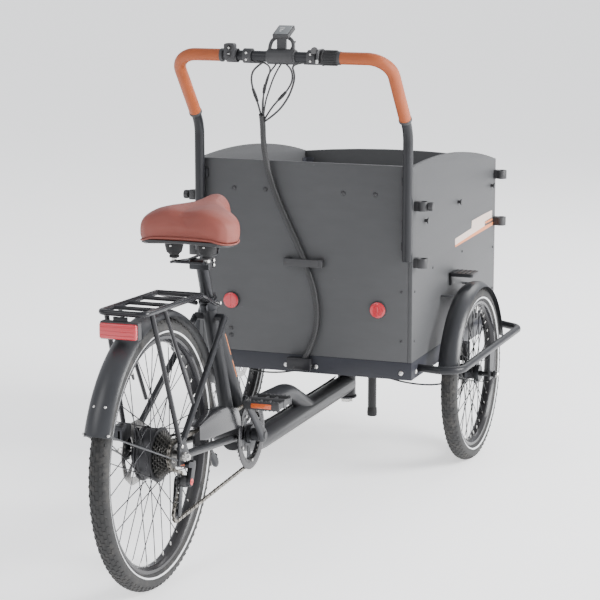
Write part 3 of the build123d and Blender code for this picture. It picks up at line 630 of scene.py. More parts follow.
# %% [markdown]
# The floor is a wide pale sheet that glows a little. Three big soft lights stand round the tricycle,
# so the dark frame shows long highlights. The camera looks from behind the rider's right
# shoulder with a long lens.

# %% Studio and camera
LENS_MM = 131.4
CAMERA_AT = at(2084.1, -4651.0, 1666.0)
LOOK_YAW, LOOK_PITCH = 20.2, 10.7


def studio():
    f = Finish("studio_paper")
    paper = f.shade(f.mix(f.noise(2.0), (0.93, 0.93, 0.935), (0.96, 0.96, 0.965)), 0.9,
                    Emission_Color=(1, 1, 1, 1), Emission_Strength=0.9)
    floor = solid("studio_floor", [(-60, -60, 0), (60, -60, 0), (60, 60, 0), (-60, 60, 0)], [(0, 1, 2, 3)],
                  paper)
    world = bpy.data.worlds.new("studio_light")
    world.use_nodes = True
    world.node_tree.nodes["Background"].inputs[0].default_value = (0.93, 0.95, 1.0, 1)
    world.node_tree.nodes["Background"].inputs[1].default_value = 0.8
    bpy.context.scene.world = world
    lights = {"side": ((5.4, 0.9, 2.6), 3.0, 700), "key": ((-2.6, -4.4, 4.4), 3.0, 90),
              "rim": ((0.8, 4.8, 4.2), 3.0, 120)}
    for name, (place, size, power) in lights.items():
        lamp = bpy.data.lights.new(name, "AREA")
        lamp.size, lamp.energy = size, power
        obj = as_object(name, lamp)
        obj.location = place
        obj.rotation_euler = (Vector((0, 0, 0.5)) - obj.location).to_track_quat("-Z", "Y").to_euler()


def camera():
    lens = bpy.data.cameras.new("studio_camera")
    lens.lens, lens.sensor_width, lens.clip_end = LENS_MM, 36.0, 200.0
    obj = as_object("studio_camera", lens)
    obj.location = CAMERA_AT
    obj.rotation_euler = (radians(90 - LOOK_PITCH), 0, radians(LOOK_YAW))
    bpy.context.scene.camera = obj


studio()
camera()
print("camera at", tuple(round(v, 3) for v in CAMERA_AT), "lens", LENS_MM)

# %% [markdown]
# A few more makers suit flat and stretched parts. `plate_of` fills a flat outline with holes and
# gives it a thickness, as a laser cutter and a press would. `loft` skins a row of closed rings.
# `bar` is a plain rod between two points, light enough to be repeated hundreds of times.

# %% Plates, lofts and bars
def circle(y, z, radius, count=32):
    return [(y + radius * cos(2 * pi * i / count),
             z + radius * sin(2 * pi * i / count)) for i in range(count)]


def sector(y, z, inner, outer, start, end, steps=7):
    """A window in a disc: degrees from +Y, with an inner and an outer arc."""
    turn = [radians(start + (end - start) * i / steps) for i in range(steps + 1)]
    out = [(y + outer * cos(a), z + outer * sin(a)) for a in turn]
    return out + [(y + inner * cos(a), z + inner * sin(a)) for a in reversed(turn)]


def plate_of(name, outlines, x0, x1, finish, ease=0.0):
    """Outlines are closed lists of (y, z). The first is the edge, and the rest are holes."""
    data = bpy.data.curves.new(name, "CURVE")
    data.dimensions, data.fill_mode = "2D", "BOTH"
    for outline in outlines:
        line = data.splines.new("POLY")
        line.points.add(len(outline) - 1)
        for knot, (y, z) in zip(line.points, outline):
            knot.co = (y, z, 0, 1)
        line.use_cyclic_u = True
    data.extrude = abs(x1 - x0) / 2
    holder = as_object(name + "_outline", data)
    mesh = plain_mesh(holder)
    bpy.data.objects.remove(holder)
    form = bmesh.new()
    form.from_mesh(mesh)
    bmesh.ops.remove_doubles(form, verts=form.verts, dist=1e-6)
    bmesh.ops.recalc_face_normals(form, faces=form.faces)
    form.to_mesh(mesh)
    form.free()
    mesh.transform(Matrix(((0, 0, 1, (x0 + x1) / 2), (1, 0, 0, 0), (0, 1, 0, 0), (0, 0, 0, 1))))
    obj = as_object(name, finish_mesh(mesh, finish))
    return softened(obj, ease) if ease else obj


def softened(obj, width, segments=2, angle=35):
    bevel = obj.modifiers.new("ease", "BEVEL")
    bevel.width, bevel.segments, bevel.angle_limit = width, segments, radians(angle)
    settle(obj)
    finish_mesh(obj.data, obj.data.materials[0], 40)
    return obj


def loft(name, rings, finish, angle=40):
    """Skins closed rings of points, all with the same count, and caps both ends."""
    count = len(rings[0])
    points = [p for ring in rings for p in ring]
    faces = [tuple(reversed(range(count))), tuple(range(len(points) - count, len(points)))]
    for r in range(len(rings) - 1):
        for i in range(count):
            j = (i + 1) % count
            faces.append((r * count + i, r * count + j, (r + 1) * count + j, (r + 1) * count + i))
    return solid(name, points, faces, finish, angle)


def bar(name, start, end, radius, finish, sides=8, tip=None):
    """A rod, or a cone where tip gives its second radius."""
    start, end = Vector(start), Vector(end)
    along = (end - start).normalized()
    turn = along.to_track_quat("Z", "Y").to_matrix()
    rings = []
    for centre, size in ((start, radius), (end, radius if tip is None else tip)):
        spots = [Vector((size * cos(2 * pi * i / sides), size * sin(2 * pi * i / sides),
                         0)) for i in range(sides)]
        rings.append([centre + turn @ spot for spot in spots])
    return loft(name, rings, finish, 50)


def placed(body, slot, *objs):
    """Each piece rides on its body. The slot argument is not used."""
    for obj in objs:
        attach(obj, body)
    return objs[0]


print("flat makers ready")

# %% [markdown]
# A tyre is a round carcass that stops at two beads inside the rim. Its grip comes from rubber
# lugs, drawn once as a group across the tread and laid round the wheel by the ring tree. The pale band
# on its wall is a woven reflective strip, so it is a ring of its own, a hair proud of the rubber.

# %% Tyres
CARCASS, LUG_LOW, LUG_TOP = 0.0236, 0.0225, 0.025
BEAD = 0.044           # from the tread down to the bead
LUG_PITCH = 0.0225
mm = 0.001


def in_mm(profile):
    """A profile drawn in millimetres, in metres."""
    return [(x * mm, r * mm) for x, r in profile]


def around(count):
    """Even angles about a circle."""
    return [2 * pi * i / count for i in range(count)]


WHEELS = (("rear", "rear_wheel", REAR, REAR_R), ("left", "left_front_wheel", LEFT, FRONT_R),
          ("right", "right_front_wheel", RIGHT, FRONT_R))


def lug(radius, low, high, length, shift):
    """One tread block on the carcass, between two angles across it."""
    points = []
    for rho, half in ((LUG_LOW, length / 2), (LUG_TOP, length / 2 - 1.2 * mm)):
        for a in (low, high):
            for end in (-1, 1):
                out = radius - 0.025 + rho * cos(radians(a))
                points.append((rho * sin(radians(a)), out, shift + end * half))
    faces = [(0, 1, 3, 2), (4, 6, 7, 5), (0, 4, 5, 1), (2, 3, 7, 6), (0, 2, 6, 4), (1, 5, 7, 3)]
    return solid("lug", points, faces, M["tyre"])


def tyre(label, body, centre, radius):
    middle_line = radius - 0.025
    wall = [(CARCASS * sin(radians(a)), middle_line + CARCASS * cos(radians(a))) for a in range(-140, 141,
                                                                                                10)]
    profile = [(-0.0145, radius - BEAD)] + wall + [(0.0145, radius - BEAD)]
    carcass = turned("carcass", profile, centre, M["tyre"], 120)
    rows = ((-17, -2, 13 * mm, 0), (2, 17, 13 * mm, LUG_PITCH / 2), (23, 40, 11 * mm, 0),
            (-40, -23, 11 * mm, LUG_PITCH / 2), (45, 60, 8 * mm, LUG_PITCH / 2), (-60, -45, 8 * mm, 0))
    block_set = joined("lugs", *[lug(radius, *row) for row in rows])
    count = round(2 * pi * radius / LUG_PITCH)
    tread = grown("tread", RING, M["tyre"], 30, Part=block_set, Count=count, Phase=0.0, Centre=centre)
    piece = joined(f"{label}_tyre_with_lugs", carcass, tread)
    placed(body, "rubber", piece)
    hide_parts({"rear": "rear_tyre", "left": "front_left_tyre", "right": "front_right_tyre"}[label])
    for side in (-1, 1):
        strip = [((CARCASS + lift) * sin(radians(a)), middle_line + (CARCASS + lift) * cos(radians(a)))
                 for lift, span in ((0.4 * mm, (106, 111, 117)), (-0.3 * mm, (117, 106))) for a in span]
        name = f"{label}_tyre_band_{'right' if side > 0 else 'left'}"
        placed(body, "rubber", turned(name, flip(strip, side), centre, M["reflex"], 120))
    print(label, "tyre:", count, "rows of lugs")


for wheel in WHEELS:
    tyre(*wheel)

# %% [markdown]
# A rim is a hollow section rolled into a hoop, so its outline is turned about the axle. Spokes
# leave the two hub flanges in crossed pairs. Four neighbours make one pattern, and nine patterns
# lace the wheel. Each spoke ends in a small plated nipple.

# %% Rims, spokes and valves
def lacing(radius, flange, spread, what):
    """Four crossed spokes, or their four nipples, drawn about the ring's +Y side."""
    parts = []
    for i in range(4):
        out = 2 * pi * i / 36
        start = out + (0.9 if i < 2 else -0.9)
        side = spread if i % 2 else -spread
        hub_end = Vector((side, flange * cos(start), flange * sin(start)))
        rim_end = Vector((0, (radius - 0.058) * cos(out), (radius - 0.058) * sin(out)))
        inward = (hub_end - rim_end).normalized()
        if what == "spokes":
            parts.append(bar("spoke", hub_end, rim_end, 1.25 * mm, M["spoke"], 6))
            parts.append(bar("elbow", hub_end - Vector((3 * mm if side > 0 else -3 * mm, 0, 0)), hub_end,
                             1.5 * mm, M["spoke"], 6))
        else:
            parts.append(bar("nipple", rim_end, rim_end + inward * 12 * mm, 2.1 * mm, M["zinc"], 8, 1.5 * mm))
    return joined(what, *parts)


def rim(label, body, centre, radius):
    outline = [(-15.4, 42), (-16.6, 45), (-15.8, 52), (-10, 58.5), (-6, 60.5), (6, 60.5), (10, 58.5),
               (15.8, 52), (16.6, 45), (15.4, 42), (13.4, 43.6), (-13.4, 43.6)]
    profile = [(x * mm, radius - depth * mm) for x, depth in outline]
    hoop = turned(f"{label}_rim_hoop", profile, centre, M["gloss_black"], 144, angle=25)
    flange, spread = (0.0665, 14 * mm) if label == "rear" else (0.030, 15 * mm)
    for what, finish in (("spokes", M["spoke"]), ("nipples", M["zinc"])):
        part = lacing(radius, flange, spread, what)
        piece = grown(f"{label}_{what}", RING, finish, 50, Part=part, Count=9, Phase=0.0, Centre=centre)
        placed(body, "rim_black", piece)
        if what == "spokes" and label == "rear":
            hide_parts("rear_rim")
    angle = radians(118 if label == "rear" else 75)
    foot = centre + Vector((0, (radius - 0.060) * cos(angle), (radius - 0.060) * sin(angle)))
    inward = Vector((0, -cos(angle), -sin(angle)))
    stem = bar("stem", foot, foot + inward * 24 * mm, 3 * mm, M["zinc"], 12)
    cap = bar("cap", foot + inward * 20 * mm, foot + inward * 36 * mm, 4 * mm, M["plastic"], 12, 3 * mm)
    placed(body, "rim_black", hoop, joined(f"{label}_valve", stem, cap))


for wheel in WHEELS:
    rim(*wheel)
print("wheels laced")

# %% [markdown]
# The rear hub holds the motor, so it is a wide drum with cooling steps and a ring of screws. The
# front hubs are plain shells. A brake disc is one cut plate: a rim with vent holes on slanted
# arms, which the plate maker cuts from an outline and its holes.

# %% Hubs and brake discs
def screws_round(name, centre, x, radius, count, head, finish, side):
    """A ring of socket screws on a hub's face."""
    body = bar("head", (x, radius, 0), (x + side * 3 * mm, radius, 0), head, finish, 12, head * 0.88)
    return grown(name, RING, finish, 40, Part=body, Count=count, Phase=0.3,
                 Centre=Vector((0, centre.y, centre.z)))


def brake_disc(name, centre, x0, x1, radius, carrier):
    y, z = centre.y, centre.z
    wave = [(radius - 1.3 * mm + 1.3 * mm * cos(10 * a), a) for a in around(160)]
    edge = [(y + r * cos(a), z + r * sin(a)) for r, a in wave]
    holes = [circle(y, z, 9 * mm)]
    for i in range(6):
        holes.append(sector(y, z, carrier, radius - 20 * mm, 60 * i, 60 * i + 42))
    for i in range(30):
        a, r = 2 * pi * i / 30, radius - (6 + 4.5 * (i % 3)) * mm
        holes.append(circle(y + r * cos(a), z + r * sin(a), 1.9 * mm, 8))
    return plate_of(name, [edge] + holes, x0, x1, M["rotor"] if centre is REAR else M["front_rotor"])


M["front_rotor"] = ring_patterned("front_ground_rotor", (0.52, 0.51, 0.5), RIGHT, 0.0006, 0.3)
M["drum"] = ring_patterned("motor_drum_shell", (0.06, 0.06, 0.063), REAR, 0.0014, 0.4)

drum = [(-40, 14), (-40, 22), (-30, 26), (-28, 48), (-26, 64), (-26, 66), (-22, 66), (-21.5, 62), (-14, 62),
        (-13, 60.5), (7, 60.5), (8, 62), (13.5, 62), (14, 66), (18, 66), (18.5, 62), (19, 30), (19.6, 14)]
shell = turned("motor_drum", in_mm(drum), REAR, M["drum"], 96, angle=30)
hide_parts("rear_hub")
placed("rear_wheel", "black_steel", shell)
placed("rear_wheel", "steel", screws_round("drum_screws", REAR, -27 * mm, 56 * mm, 8, 3.4 * mm, M["zinc"],
                                           -1))
placed("rear_wheel", "steel", screws_round("disc_screws", REAR, -49.5 * mm, 22 * mm, 6, 3 * mm, M["steel"],
                                           -1))
carrier = turned("disc_carrier", in_mm(((-47.5, 9), (-47.5, 28), (-40, 24), (-38, 9))),
                 REAR, M["black_metal"], 48)
placed("rear_wheel", "black_steel", carrier)
placed("rear_wheel", "steel", brake_disc("rear_brake_disc", REAR, -49.5 * mm, -47.5 * mm, 0.080, 0.026))

for label, body, centre, sign in (("right", "right_front_wheel", RIGHT, 1),
                                  ("left", "left_front_wheel", LEFT, -1)):
    bell = [(-33, 9), (-33, 24), (-20, 25), (-19, 32), (-15, 32), (-14, 23), (-6, 18), (8, 18), (14, 23),
            (15, 32), (19, 32), (20, 25), (27, 24), (27, 9)]
    hub = turned(f"{label}_hub_shell", flip(in_mm(bell), sign), centre, M["black_metal"], 64)
    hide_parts(f"front_{label}_wheel")
    placed(body, "black_steel", hub)
    x = sorted((sign * 0.346, sign * 0.348))
    placed(body, "steel", brake_disc(f"{label}_brake_disc", RIGHT, *x, 0.070, 0.024))
    screws = screws_round(f"{label}_disc_screws", RIGHT, sign * 0.346, 18 * mm, 6, 2.6 * mm, M["steel"],
                          -sign)
    placed(body, "steel", screws)
print("hubs done")

# %% [markdown]
# A roller chain is a loop of pitch-long links, outer and inner by turns. The loop runs straight
# between the wheels and round each one, so its line comes from four circles and the tangents
# between them. The path tree lays every second spot with an outer link, and the rest with inner.

# %% The chain's line
PITCH = 12.7 * mm


def pitch_radius(teeth):
    return PITCH / (2 * sin(pi / teeth))


UPPER, LOWER = middle("upper_pulley"), middle("lower_pulley")
CHAIN_X = UPPER.x
DRIVE = [(CRANK, pitch_radius(40), 1), (REAR, pitch_radius(16), 1), (UPPER, pitch_radius(10), -1),
         (LOWER, pitch_radius(10), 1)]


def tangent(one, two):
    """Where a straight run leaves one wheel and meets the next, as (y, z) pairs."""
    (a, ra, sa), (b, rb, sb) = one, two
    dy, dz, k = b.y - a.y, b.z - a.z, sb * rb - sa * ra
    run = sqrt(dy * dy + dz * dz - k * k)
    uy, uz = (run * dy + k * dz) / (dy * dy + dz * dz), (run * dz - k * dy) / (dy * dy + dz * dz)
    return (a.y + sa * ra * uz, a.z - sa * ra * uy), (b.y + sb * rb * uz, b.z - sb * rb * uy)


def chain_line():
    """Points round the whole loop: the ends of each run, and arcs round the wheels."""
    line = []
    for i in range(4):
        start, end = tangent(DRIVE[i], DRIVE[(i + 1) % 4])
        leave = tangent(DRIVE[(i + 1) % 4], DRIVE[(i + 2) % 4])[0]
        centre, radius, sense = DRIVE[(i + 1) % 4]
        a0 = atan2(end[1] - centre.z, end[0] - centre.y)
        a1 = atan2(leave[1] - centre.z, leave[0] - centre.y)
        sweep = (a1 - a0) * sense % (2 * pi) * sense
        steps = max(2, round(abs(sweep) * radius / (4 * mm)))
        for k in range(steps):
            a = a0 + sweep * k / steps
            line.append(Vector((CHAIN_X, centre.y + radius * cos(a), centre.z + radius * sin(a))))
        line.append(Vector((CHAIN_X, *leave)))
    return line


def link_plate(x, waist, finish):
    """One side plate: two round ends with a waist, its length along Z."""
    shape = []
    for end in (1, -1):
        for i in range(5):
            a = radians(-80 + 40 * i) * end
            shape.append((4.2 * mm * sin(a), end * PITCH / 2 + end * 4.2 * mm * cos(a)))
        shape.append((end * waist, 0))
    return plate_of("side_plate", [shape], x - 0.5 * mm, x + 0.5 * mm, finish)


def link_of(kind):
    x = 3.0 * mm if kind == "outer" else 1.9 * mm
    parts = [link_plate(s * x, 3.0 * mm, M["chain"]) for s in (-1, 1)]
    for end in (-1, 1):
        reach, radius = (3.9 * mm, 1.8 * mm) if kind == "outer" else (1.5 * mm, 3.6 * mm)
        spot = Vector((0, 0, end * PITCH / 2))
        parts.append(bar("pin", spot - Vector((reach, 0, 0)), spot + Vector((reach, 0, 0)), radius,
                         M["chain"], 6))
    return joined(kind + "_link", *parts)


line = chain_line()
path = as_object("chain_path", route(line, smooth=False, closed=True))
length = sum((line[i] - line[i - 1]).length for i in range(len(line)))
COUNT = 2 * round(length / PITCH / 2)
for kind, offset in (("outer", 0.0), ("inner", 1.0)):
    links = grown(f"chain_{kind}_links", PATH, M["chain"], 40, keep_parts=True, Part=link_of(kind), Path=path,
                  Count=COUNT, Offset=offset, Every=2)
    bpy.data.objects.remove(bpy.data.objects[kind + "_link"])
    placed("rear_frame", "chain_steel", links)
    if kind == "outer":
        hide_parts("chain")
bpy.data.objects.remove(path)
print("chain links", COUNT)

# %% [markdown]
# The chainring is stamped: teeth round the edge, five windows and a bolt on each arm. A black
# guard ring keeps trousers off the teeth. The cranks are forged, so they taper from a thick boss
# to a thinner eye, with a softened outline, and a dust cap closes the boss.

# %% Chainring, guard and cranks
def sprocket_edge(teeth, centre, phase=0.0):
    root, tip = pitch_radius(teeth) - 3.6 * mm, pitch_radius(teeth) + 2.4 * mm
    edge = []
    for i in range(teeth):
        for share, radius in ((0.08, root), (0.25, root), (0.43, tip), (0.57, tip), (0.75, root),
                              (0.92, root)):
            a = phase + pi / 2 + 2 * pi * (i + share) / teeth
            edge.append((centre.y + radius * cos(a), centre.z + radius * sin(a)))
    return edge


RING_X = CHAIN_X
windows = [sector(CRANK.y, CRANK.z, 0.030, 0.062, 72 * i + 66, 72 * i + 114, 6) for i in range(5)]
ringplate = plate_of("chainring_plate", [sprocket_edge(40, CRANK)] + windows, RING_X - mm, RING_X + mm,
                     M["black_metal"], 0.25 * mm)
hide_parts("chainring")
guard_line = [(58, 68), (58, 91), (59, 92), (60.5, 92), (61, 90), (61, 70), (60, 67)]
guard = turned("chain_guard", in_mm(guard_line), Vector((0, CRANK.y, CRANK.z)),
               M["gloss_black"], 120)
ring_bolts = joined("ring_bolts", *[
    bar("bolt", (RING_X + mm, CRANK.y + 0.069 * cos(a), CRANK.z + 0.069 * sin(a)),
        (RING_X + 11.5 * mm, CRANK.y + 0.069 * cos(a), CRANK.z + 0.069 * sin(a)), 4.5 * mm, M["steel"], 16,
        4 * mm)
    for a in (radians(54 + 72 * i) for i in range(5))])
placed("crankset", "black_steel", ringplate, guard)
placed("crankset", "steel", ring_bolts)

PEDALS = {1: middle("pedal_right"), -1: middle("pedal_left")}


def crank(side):
    """A forged arm from the spindle to the pedal eye."""
    foot = PEDALS[side]
    along = Vector((0, foot.y - CRANK.y, foot.z - CRANK.z))
    reach, along = along.length, along.normalized()
    across = Vector((0, -along.z, along.y))
    rings = []
    for t, wide, thick, x in ((-19, 9, 11, 91), (-13, 15, 14, 91), (0, 19, 15, 91), (16, 16, 14, 91),
                              (34, 13, 12, 91.5), (100, 11, 10.5, 92), (150, 11, 11, 92), (162, 13.5, 12, 92),
                              (172, 13.5, 12, 92), (180, 10, 11, 92), (184, 5, 9, 92)):
        centre = Vector((side * x * mm, CRANK.y, CRANK.z)) + along * t * mm
        ring = []
        for i in range(20):
            a = 2 * pi * i / 20
            c, s = cos(a), sin(a)
            squared = (abs(c) ** 4 + abs(s) ** 4) ** -0.25
            ring.append(centre + across * (wide * mm * c * squared) + Vector((thick * mm / 2 * s * squared,
                                                                              0, 0)))
        rings.append(ring)
    arm = loft("arm", rings, M["black_metal"], 50)
    boss = Vector((side * 97.5 * mm, CRANK.y, CRANK.z))
    cap = bar("cap", boss, boss + Vector((side * 3 * mm, 0, 0)), 11 * mm, M["plastic"], 32, 9.5 * mm)
    eye = Vector((side * 98 * mm, foot.y, foot.z))
    pin = bar("pin", eye - Vector((side * 2 * mm, 0, 0)), eye + Vector((side * 6 * mm, 0, 0)), 8 * mm,
              M["steel"], 6)
    return joined("crank_right" if side > 0 else "crank_left", arm, cap, pin)


spindle = turned("crank_spindle", in_mm([(-88, 3), (-88, 11), (53, 11), (54, 25), (63, 24), (64, 17),
                                         (86, 16), (86, 3)]),
                 Vector((0, CRANK.y, CRANK.z)), M["black_metal"], 48)
cranks = [crank(1), crank(-1)]
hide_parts("crank_arms")
placed("crankset", "black_steel", spindle, *cranks)
print("cranks ready")

# %% [markdown]
# A flat pedal is a moulded cage round its axle. The sole stands on two toothed rails, and amber
# reflectors are let into the front and the back, where a driver behind sees them move.

# %% Pedals
def pedal(side, body, node):
    low, high = (Vector(v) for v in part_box(node))
    mid = PEDALS[side]
    y0, y1, z = low.y, high.y, mid.z
    x0, x1 = low.x, high.x
    barrel = bar("barrel", (x0, mid.y, z), (x1, mid.y, z), 11 * mm, M["plastic"], 24, 12 * mm)
    parts = [barrel]
    for y in (y0 + 4 * mm, y1 - 4 * mm):
        parts.append(block("rail", (x0, y - 4 * mm, z - 11 * mm), (x1, y + 4 * mm, z + 11 * mm),
                           M["plastic"], 2.5 * mm))
        for i in range(9):
            x = x0 + (x1 - x0) * (i + 0.5) / 9
            for up in (-1, 1):
                parts.append(bar("tooth", (x, y, z + up * 10 * mm), (x, y, z + up * 13 * mm), 3 * mm,
                                 M["plastic"], 8, 1.6 * mm))
    for i in range(4):
        x = x0 + (x1 - x0) * (i + 0.5) / 4 if 0 < i < 3 else (x0 + 4 * mm, x1 - 4 * mm)[i // 3]
        parts.append(block("rib", (x - 3 * mm, y0 + 4 * mm, z - 8 * mm),
                           (x + 3 * mm, y1 - 4 * mm, z + 8 * mm), M["plastic"], 1.5 * mm))
    name = "right" if side > 0 else "left"
    cage = joined(f"pedal_cage_{name}", *parts)
    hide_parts(node)
    placed(body, "black_plastic", cage)
    for label, y, out in (("rear", y0, -1), ("front", y1, 1)):
        lens = block(f"pedal_lens_{name}_{label}",
                     ((x0 + x1) / 2 - 27 * mm, min(y, y + out * 2.5 * mm), z - 6 * mm),
                     ((x0 + x1) / 2 + 27 * mm, max(y, y + out * 2.5 * mm), z + 6 * mm), M["amber"], 1.2 * mm)
        placed(body, "orange_lens", lens)


pedal(1, "right_pedal", "pedal_right")
pedal(-1, "left_pedal", "pedal_left")
print("pedals ready")

# %% [markdown]
# The derailleur hangs under the rear axle: a cage of two thin plates that holds the guide wheels,
# a barrel with its spring, and a slanted link. One anodised red washer marks the pivot. The
# cassette's cogs are stamped plates, cut here with the same tooth outline as the chainring.

# %% Derailleur, guide wheels and cassette
gear_cage = eased("derailleur_cage", "derailleur", M["black_metal"], 0.8 * mm)
barrel_line = [(61, 4), (61, 14), (66, 15), (72, 15), (76, 13), (83, 12), (84, 10), (84, 4)]
barrel = turned("derailleur_barrel", in_mm(barrel_line),
                Vector((0, UPPER.y, UPPER.z)), M["plastic"], 48)
red_ring = turned("derailleur_red_washer", in_mm(((84, 3), (84, 9), (86.4, 8), (86.4, 3))),
                  Vector((0, UPPER.y, UPPER.z)), M["red_print"], 32)
placed("rear_frame", "black_plastic", gear_cage, barrel)
placed("rear_frame", "red_lens", red_ring)
for body, node, centre in (("upper_jockey", "upper_pulley", UPPER), ("lower_jockey", "lower_pulley", LOWER)):
    wheel = plate_of(f"{node}_wheel", [sprocket_edge(10, centre), circle(centre.y, centre.z, 4 * mm, 16)]
                     + [circle(centre.y + 0.012 * cos(a), centre.z + 0.012 * sin(a), 2.6 * mm, 10)
                        for a in around(5)], CHAIN_X - mm, CHAIN_X + mm, M["plastic"])
    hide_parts(node)
    bush = turned(f"{node}_bush", in_mm(((-4, 2.6), (-4, 7), (-1, 9), (1, 9), (4, 7), (4, 2.6))),
                  centre, M["black_metal"], 24)
    placed(body, "black_plastic", wheel, bush)
for i, teeth in enumerate((16, 18, 20, 22, 24, 26, 28)):
    x = CHAIN_X - 5 * i * mm
    cog = plate_of(f"cog_{teeth}", [sprocket_edge(teeth, REAR), circle(REAR.y, REAR.z, 17 * mm, 24)]
                   + [sector(REAR.y, REAR.z, 0.024, pitch_radius(teeth) - 9 * mm, 60 * k + 12 * i,
                             60 * k + 34 + 12 * i, 4)
                      for k in range(6) if teeth > 21], x - 0.9 * mm, x + 0.9 * mm, M["cog"])
    placed("cassette_body", "steel", cog)
freehub = turned("cassette_core", in_mm(((20.6, 7), (20.6, 17.4), (53, 17.4), (54, 15), (55.5, 15),
                                         (55.5, 7))),
                 REAR, M["steel"], 48)
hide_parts("cassette")
placed("cassette_body", "steel", freehub)
print("transmission ready")

# %% [markdown]
# Some parts are turned about a slanted or upright axis, so `spun` draws a profile of (height,
# radius) pairs up from a foot along any direction. `bend` gives the path of a bent tube: straight
# runs joined by arcs of one radius, as a bending machine makes them.

# %% Lathe work at any angle, and tube bends
def spun(name, profile, foot, along, finish, segments=40, angle=35):
    rings = []
    turn = Vector(along).normalized().to_track_quat("Z", "Y").to_matrix()
    for height, radius in profile:
        spots = [Vector((radius * cos(2 * pi * i / segments), radius * sin(2 * pi * i / segments), height))
                 for i in range(segments)]
        rings.append([Vector(foot) + turn @ (spot * mm) for spot in spots])
    return loft(name, rings, finish, angle)


def bend(points, radius, steps=8):
    points = [Vector(p) for p in points]
    line = [points[0]]
    for a, b, c in zip(points, points[1:], points[2:]):
        u, v = (a - b).normalized(), (c - b).normalized()
        half = acos(max(-1, min(1, u.dot(v)))) / 2
        centre = b + (u + v).normalized() * radius / sin(half)
        start, end = b + u * radius * cos(half) / sin(half), b + v * radius * cos(half) / sin(half)
        for i in range(steps + 1):
            arm = (start - centre).normalized().slerp((end - centre).normalized(), i / steps)
            line.append(centre + arm * radius)
    return line + [points[-1]]


def dome(name, spot, along, radius, finish, height=0.6):
    """A round bolt head."""
    r = radius / mm
    line = [(0, r * 0.98), (r * 0.12, r)] + [(r * (0.12 + height * sin(a)), r * cos(a)) for a in
                                           (radians(18 * i) for i in range(1, 5))] + [(r * (0.12 + height),
                                                                                       0.2)]
    return spun(name, line, spot, along, finish, 20, 50)


print("lathe ready")

# %% [markdown]
# The welded frame and the other plain parts keep their CAD shapes. Each gets a copy with eased
# edges, a finish and the body that it rides on, so one table holds them all.

# %% Frame, stays, rack and mudguard
for name, node, finish, body, slot, width in (
        ("frame_tubes", "main_frame", M["paint"], "rear_frame", "frame_paint", 0.8),
        ("stay_tubes", "rear_stays", M["paint"], "rear_frame", "frame_paint", 0.6),
        ("rack_tubes", "rear_rack", M["gloss_black"], "rear_frame", "frame_paint", 0.5),
        ("mudguard_rear", "rear_fender", M["fender"], "rear_frame", "black_plastic", 0.5),
        ("caliper_rear", "rear_caliper", M["black_metal"], "rear_frame", "black_steel", 1.5),
        ("saddle_collar", "seat_collar", M["black_metal"], "rear_frame", "black_steel", 1.0),
        ("chain_hood", "chain_cover", M["smooth_plastic"], "rear_frame", "gloss_plastic", 1.0),
        ("saddle_post", "seat_post", M["black_metal"], "saddle_post", "black_steel", 1.0),
        ("under_frame", "undercarriage", M["paint"], "box", "frame_paint", 1.5),
        ("stub_axles", "front_axles", M["paint"], "box", "frame_paint", 1.2),
        ("guard_loops", "wheel_guards", M["paint"], "box", "frame_paint", 1.0),
        ("mudguards_front", "front_fenders", M["fender"], "box", "black_plastic", 0.5),
        ("steering_bar", "handlebar", M["paint"], "box", "frame_paint", 0.6),
        ("box_apron", "box_frame", M["apron"], "box", "apron", 0.8),
        ("panel_right", "side_panel_right", M["board"], "box", "panel", 1.6),
        ("panel_left", "side_panel_left", M["board"], "box", "panel", 1.6),
        ("panel_rear", "rear_panel", M["board"], "box", "panel", 1.6),
        ("panel_front", "front_panel", M["board"], "box", "panel", 1.6),
        ("inside_boards", "inner_boards", M["inner_board"], "box", "panel", 1.2),
        ("bench_lid_board", "bench_board", M["inner_board"], "bench", "panel", 1.2),
        ("lever_clamps", "brake_housings", M["plastic"], "box", "black_plastic", 2.0),
        ("screen_case", "display", M["plastic"], "box", "black_plastic", 2.0),
        ("button_case", "control_pad", M["plastic"], "box", "black_plastic", 1.6),
        ("battery_case", "battery", M["plastic"], "box", "black_plastic", 3.0),
        ("hood_collars", "pole_clips", M["plastic"], "box", "black_plastic", 1.4),
        ("collar_knob_right", "clamp_knob_right", M["plastic"], "right_knob", "black_plastic", 1.2),
        ("collar_knob_left", "clamp_knob_left", M["plastic"], "left_knob", "black_plastic", 1.2),
        ("button_minus", "button_down", M["soft_rubber"], "button_lower", "black_plastic", 0.8),
        ("button_plus", "button_up", M["soft_rubber"], "button_upper", "black_plastic", 0.8)):
    placed(body, slot, eased(name, node, finish, width * mm))
for node, finish in (("rear_axle", M["steel"]), ("kingpin", M["steel"])):
    for slot in nodes[node].material_slots:
        slot.material = finish
print("softened CAD parts ready")

# %% [markdown]
# The steering pin turns in two bearing cups above a nut, the rear axle ends in domed nuts, and
# the mudguard and the rack are held by plated rivets and bolts. All are profiles spun about
# their own axes.

# %% Bearing cups, nuts and rivets
PIVOT = middle("kingpin")
cups = []
for z0, z1 in ((157, 165), (236, 243)):
    cups.append(spun("cup", [(0, 20), (0, 29), (2, 31), (z1 - z0 - 2, 31), (z1 - z0, 29), (z1 - z0, 20)],
                     (PIVOT.x, PIVOT.y, z0 * mm), (0, 0, 1), M["black_metal"]))
nut = spun("nut", [(0, 16), (0, 18.5), (11, 18.5), (12, 17), (12, 12)], (PIVOT.x, PIVOT.y, 145 * mm),
           (0, 0, 1), M["steel"], 6)
placed("rear_frame", "black_steel", joined("steering_cups", *cups, nut))
axle_nuts = [spun("nut", [(0, 4), (0, 9.5), (8, 9.5), (9, 8.5), (13, 6.5), (13, 0.5)],
                  (s * 81 * mm, REAR.y, REAR.z), (s, 0, 0), M["steel"], 6) for s in (-1, 1)]
placed("rear_frame", "steel", joined("axle_nuts", *axle_nuts))
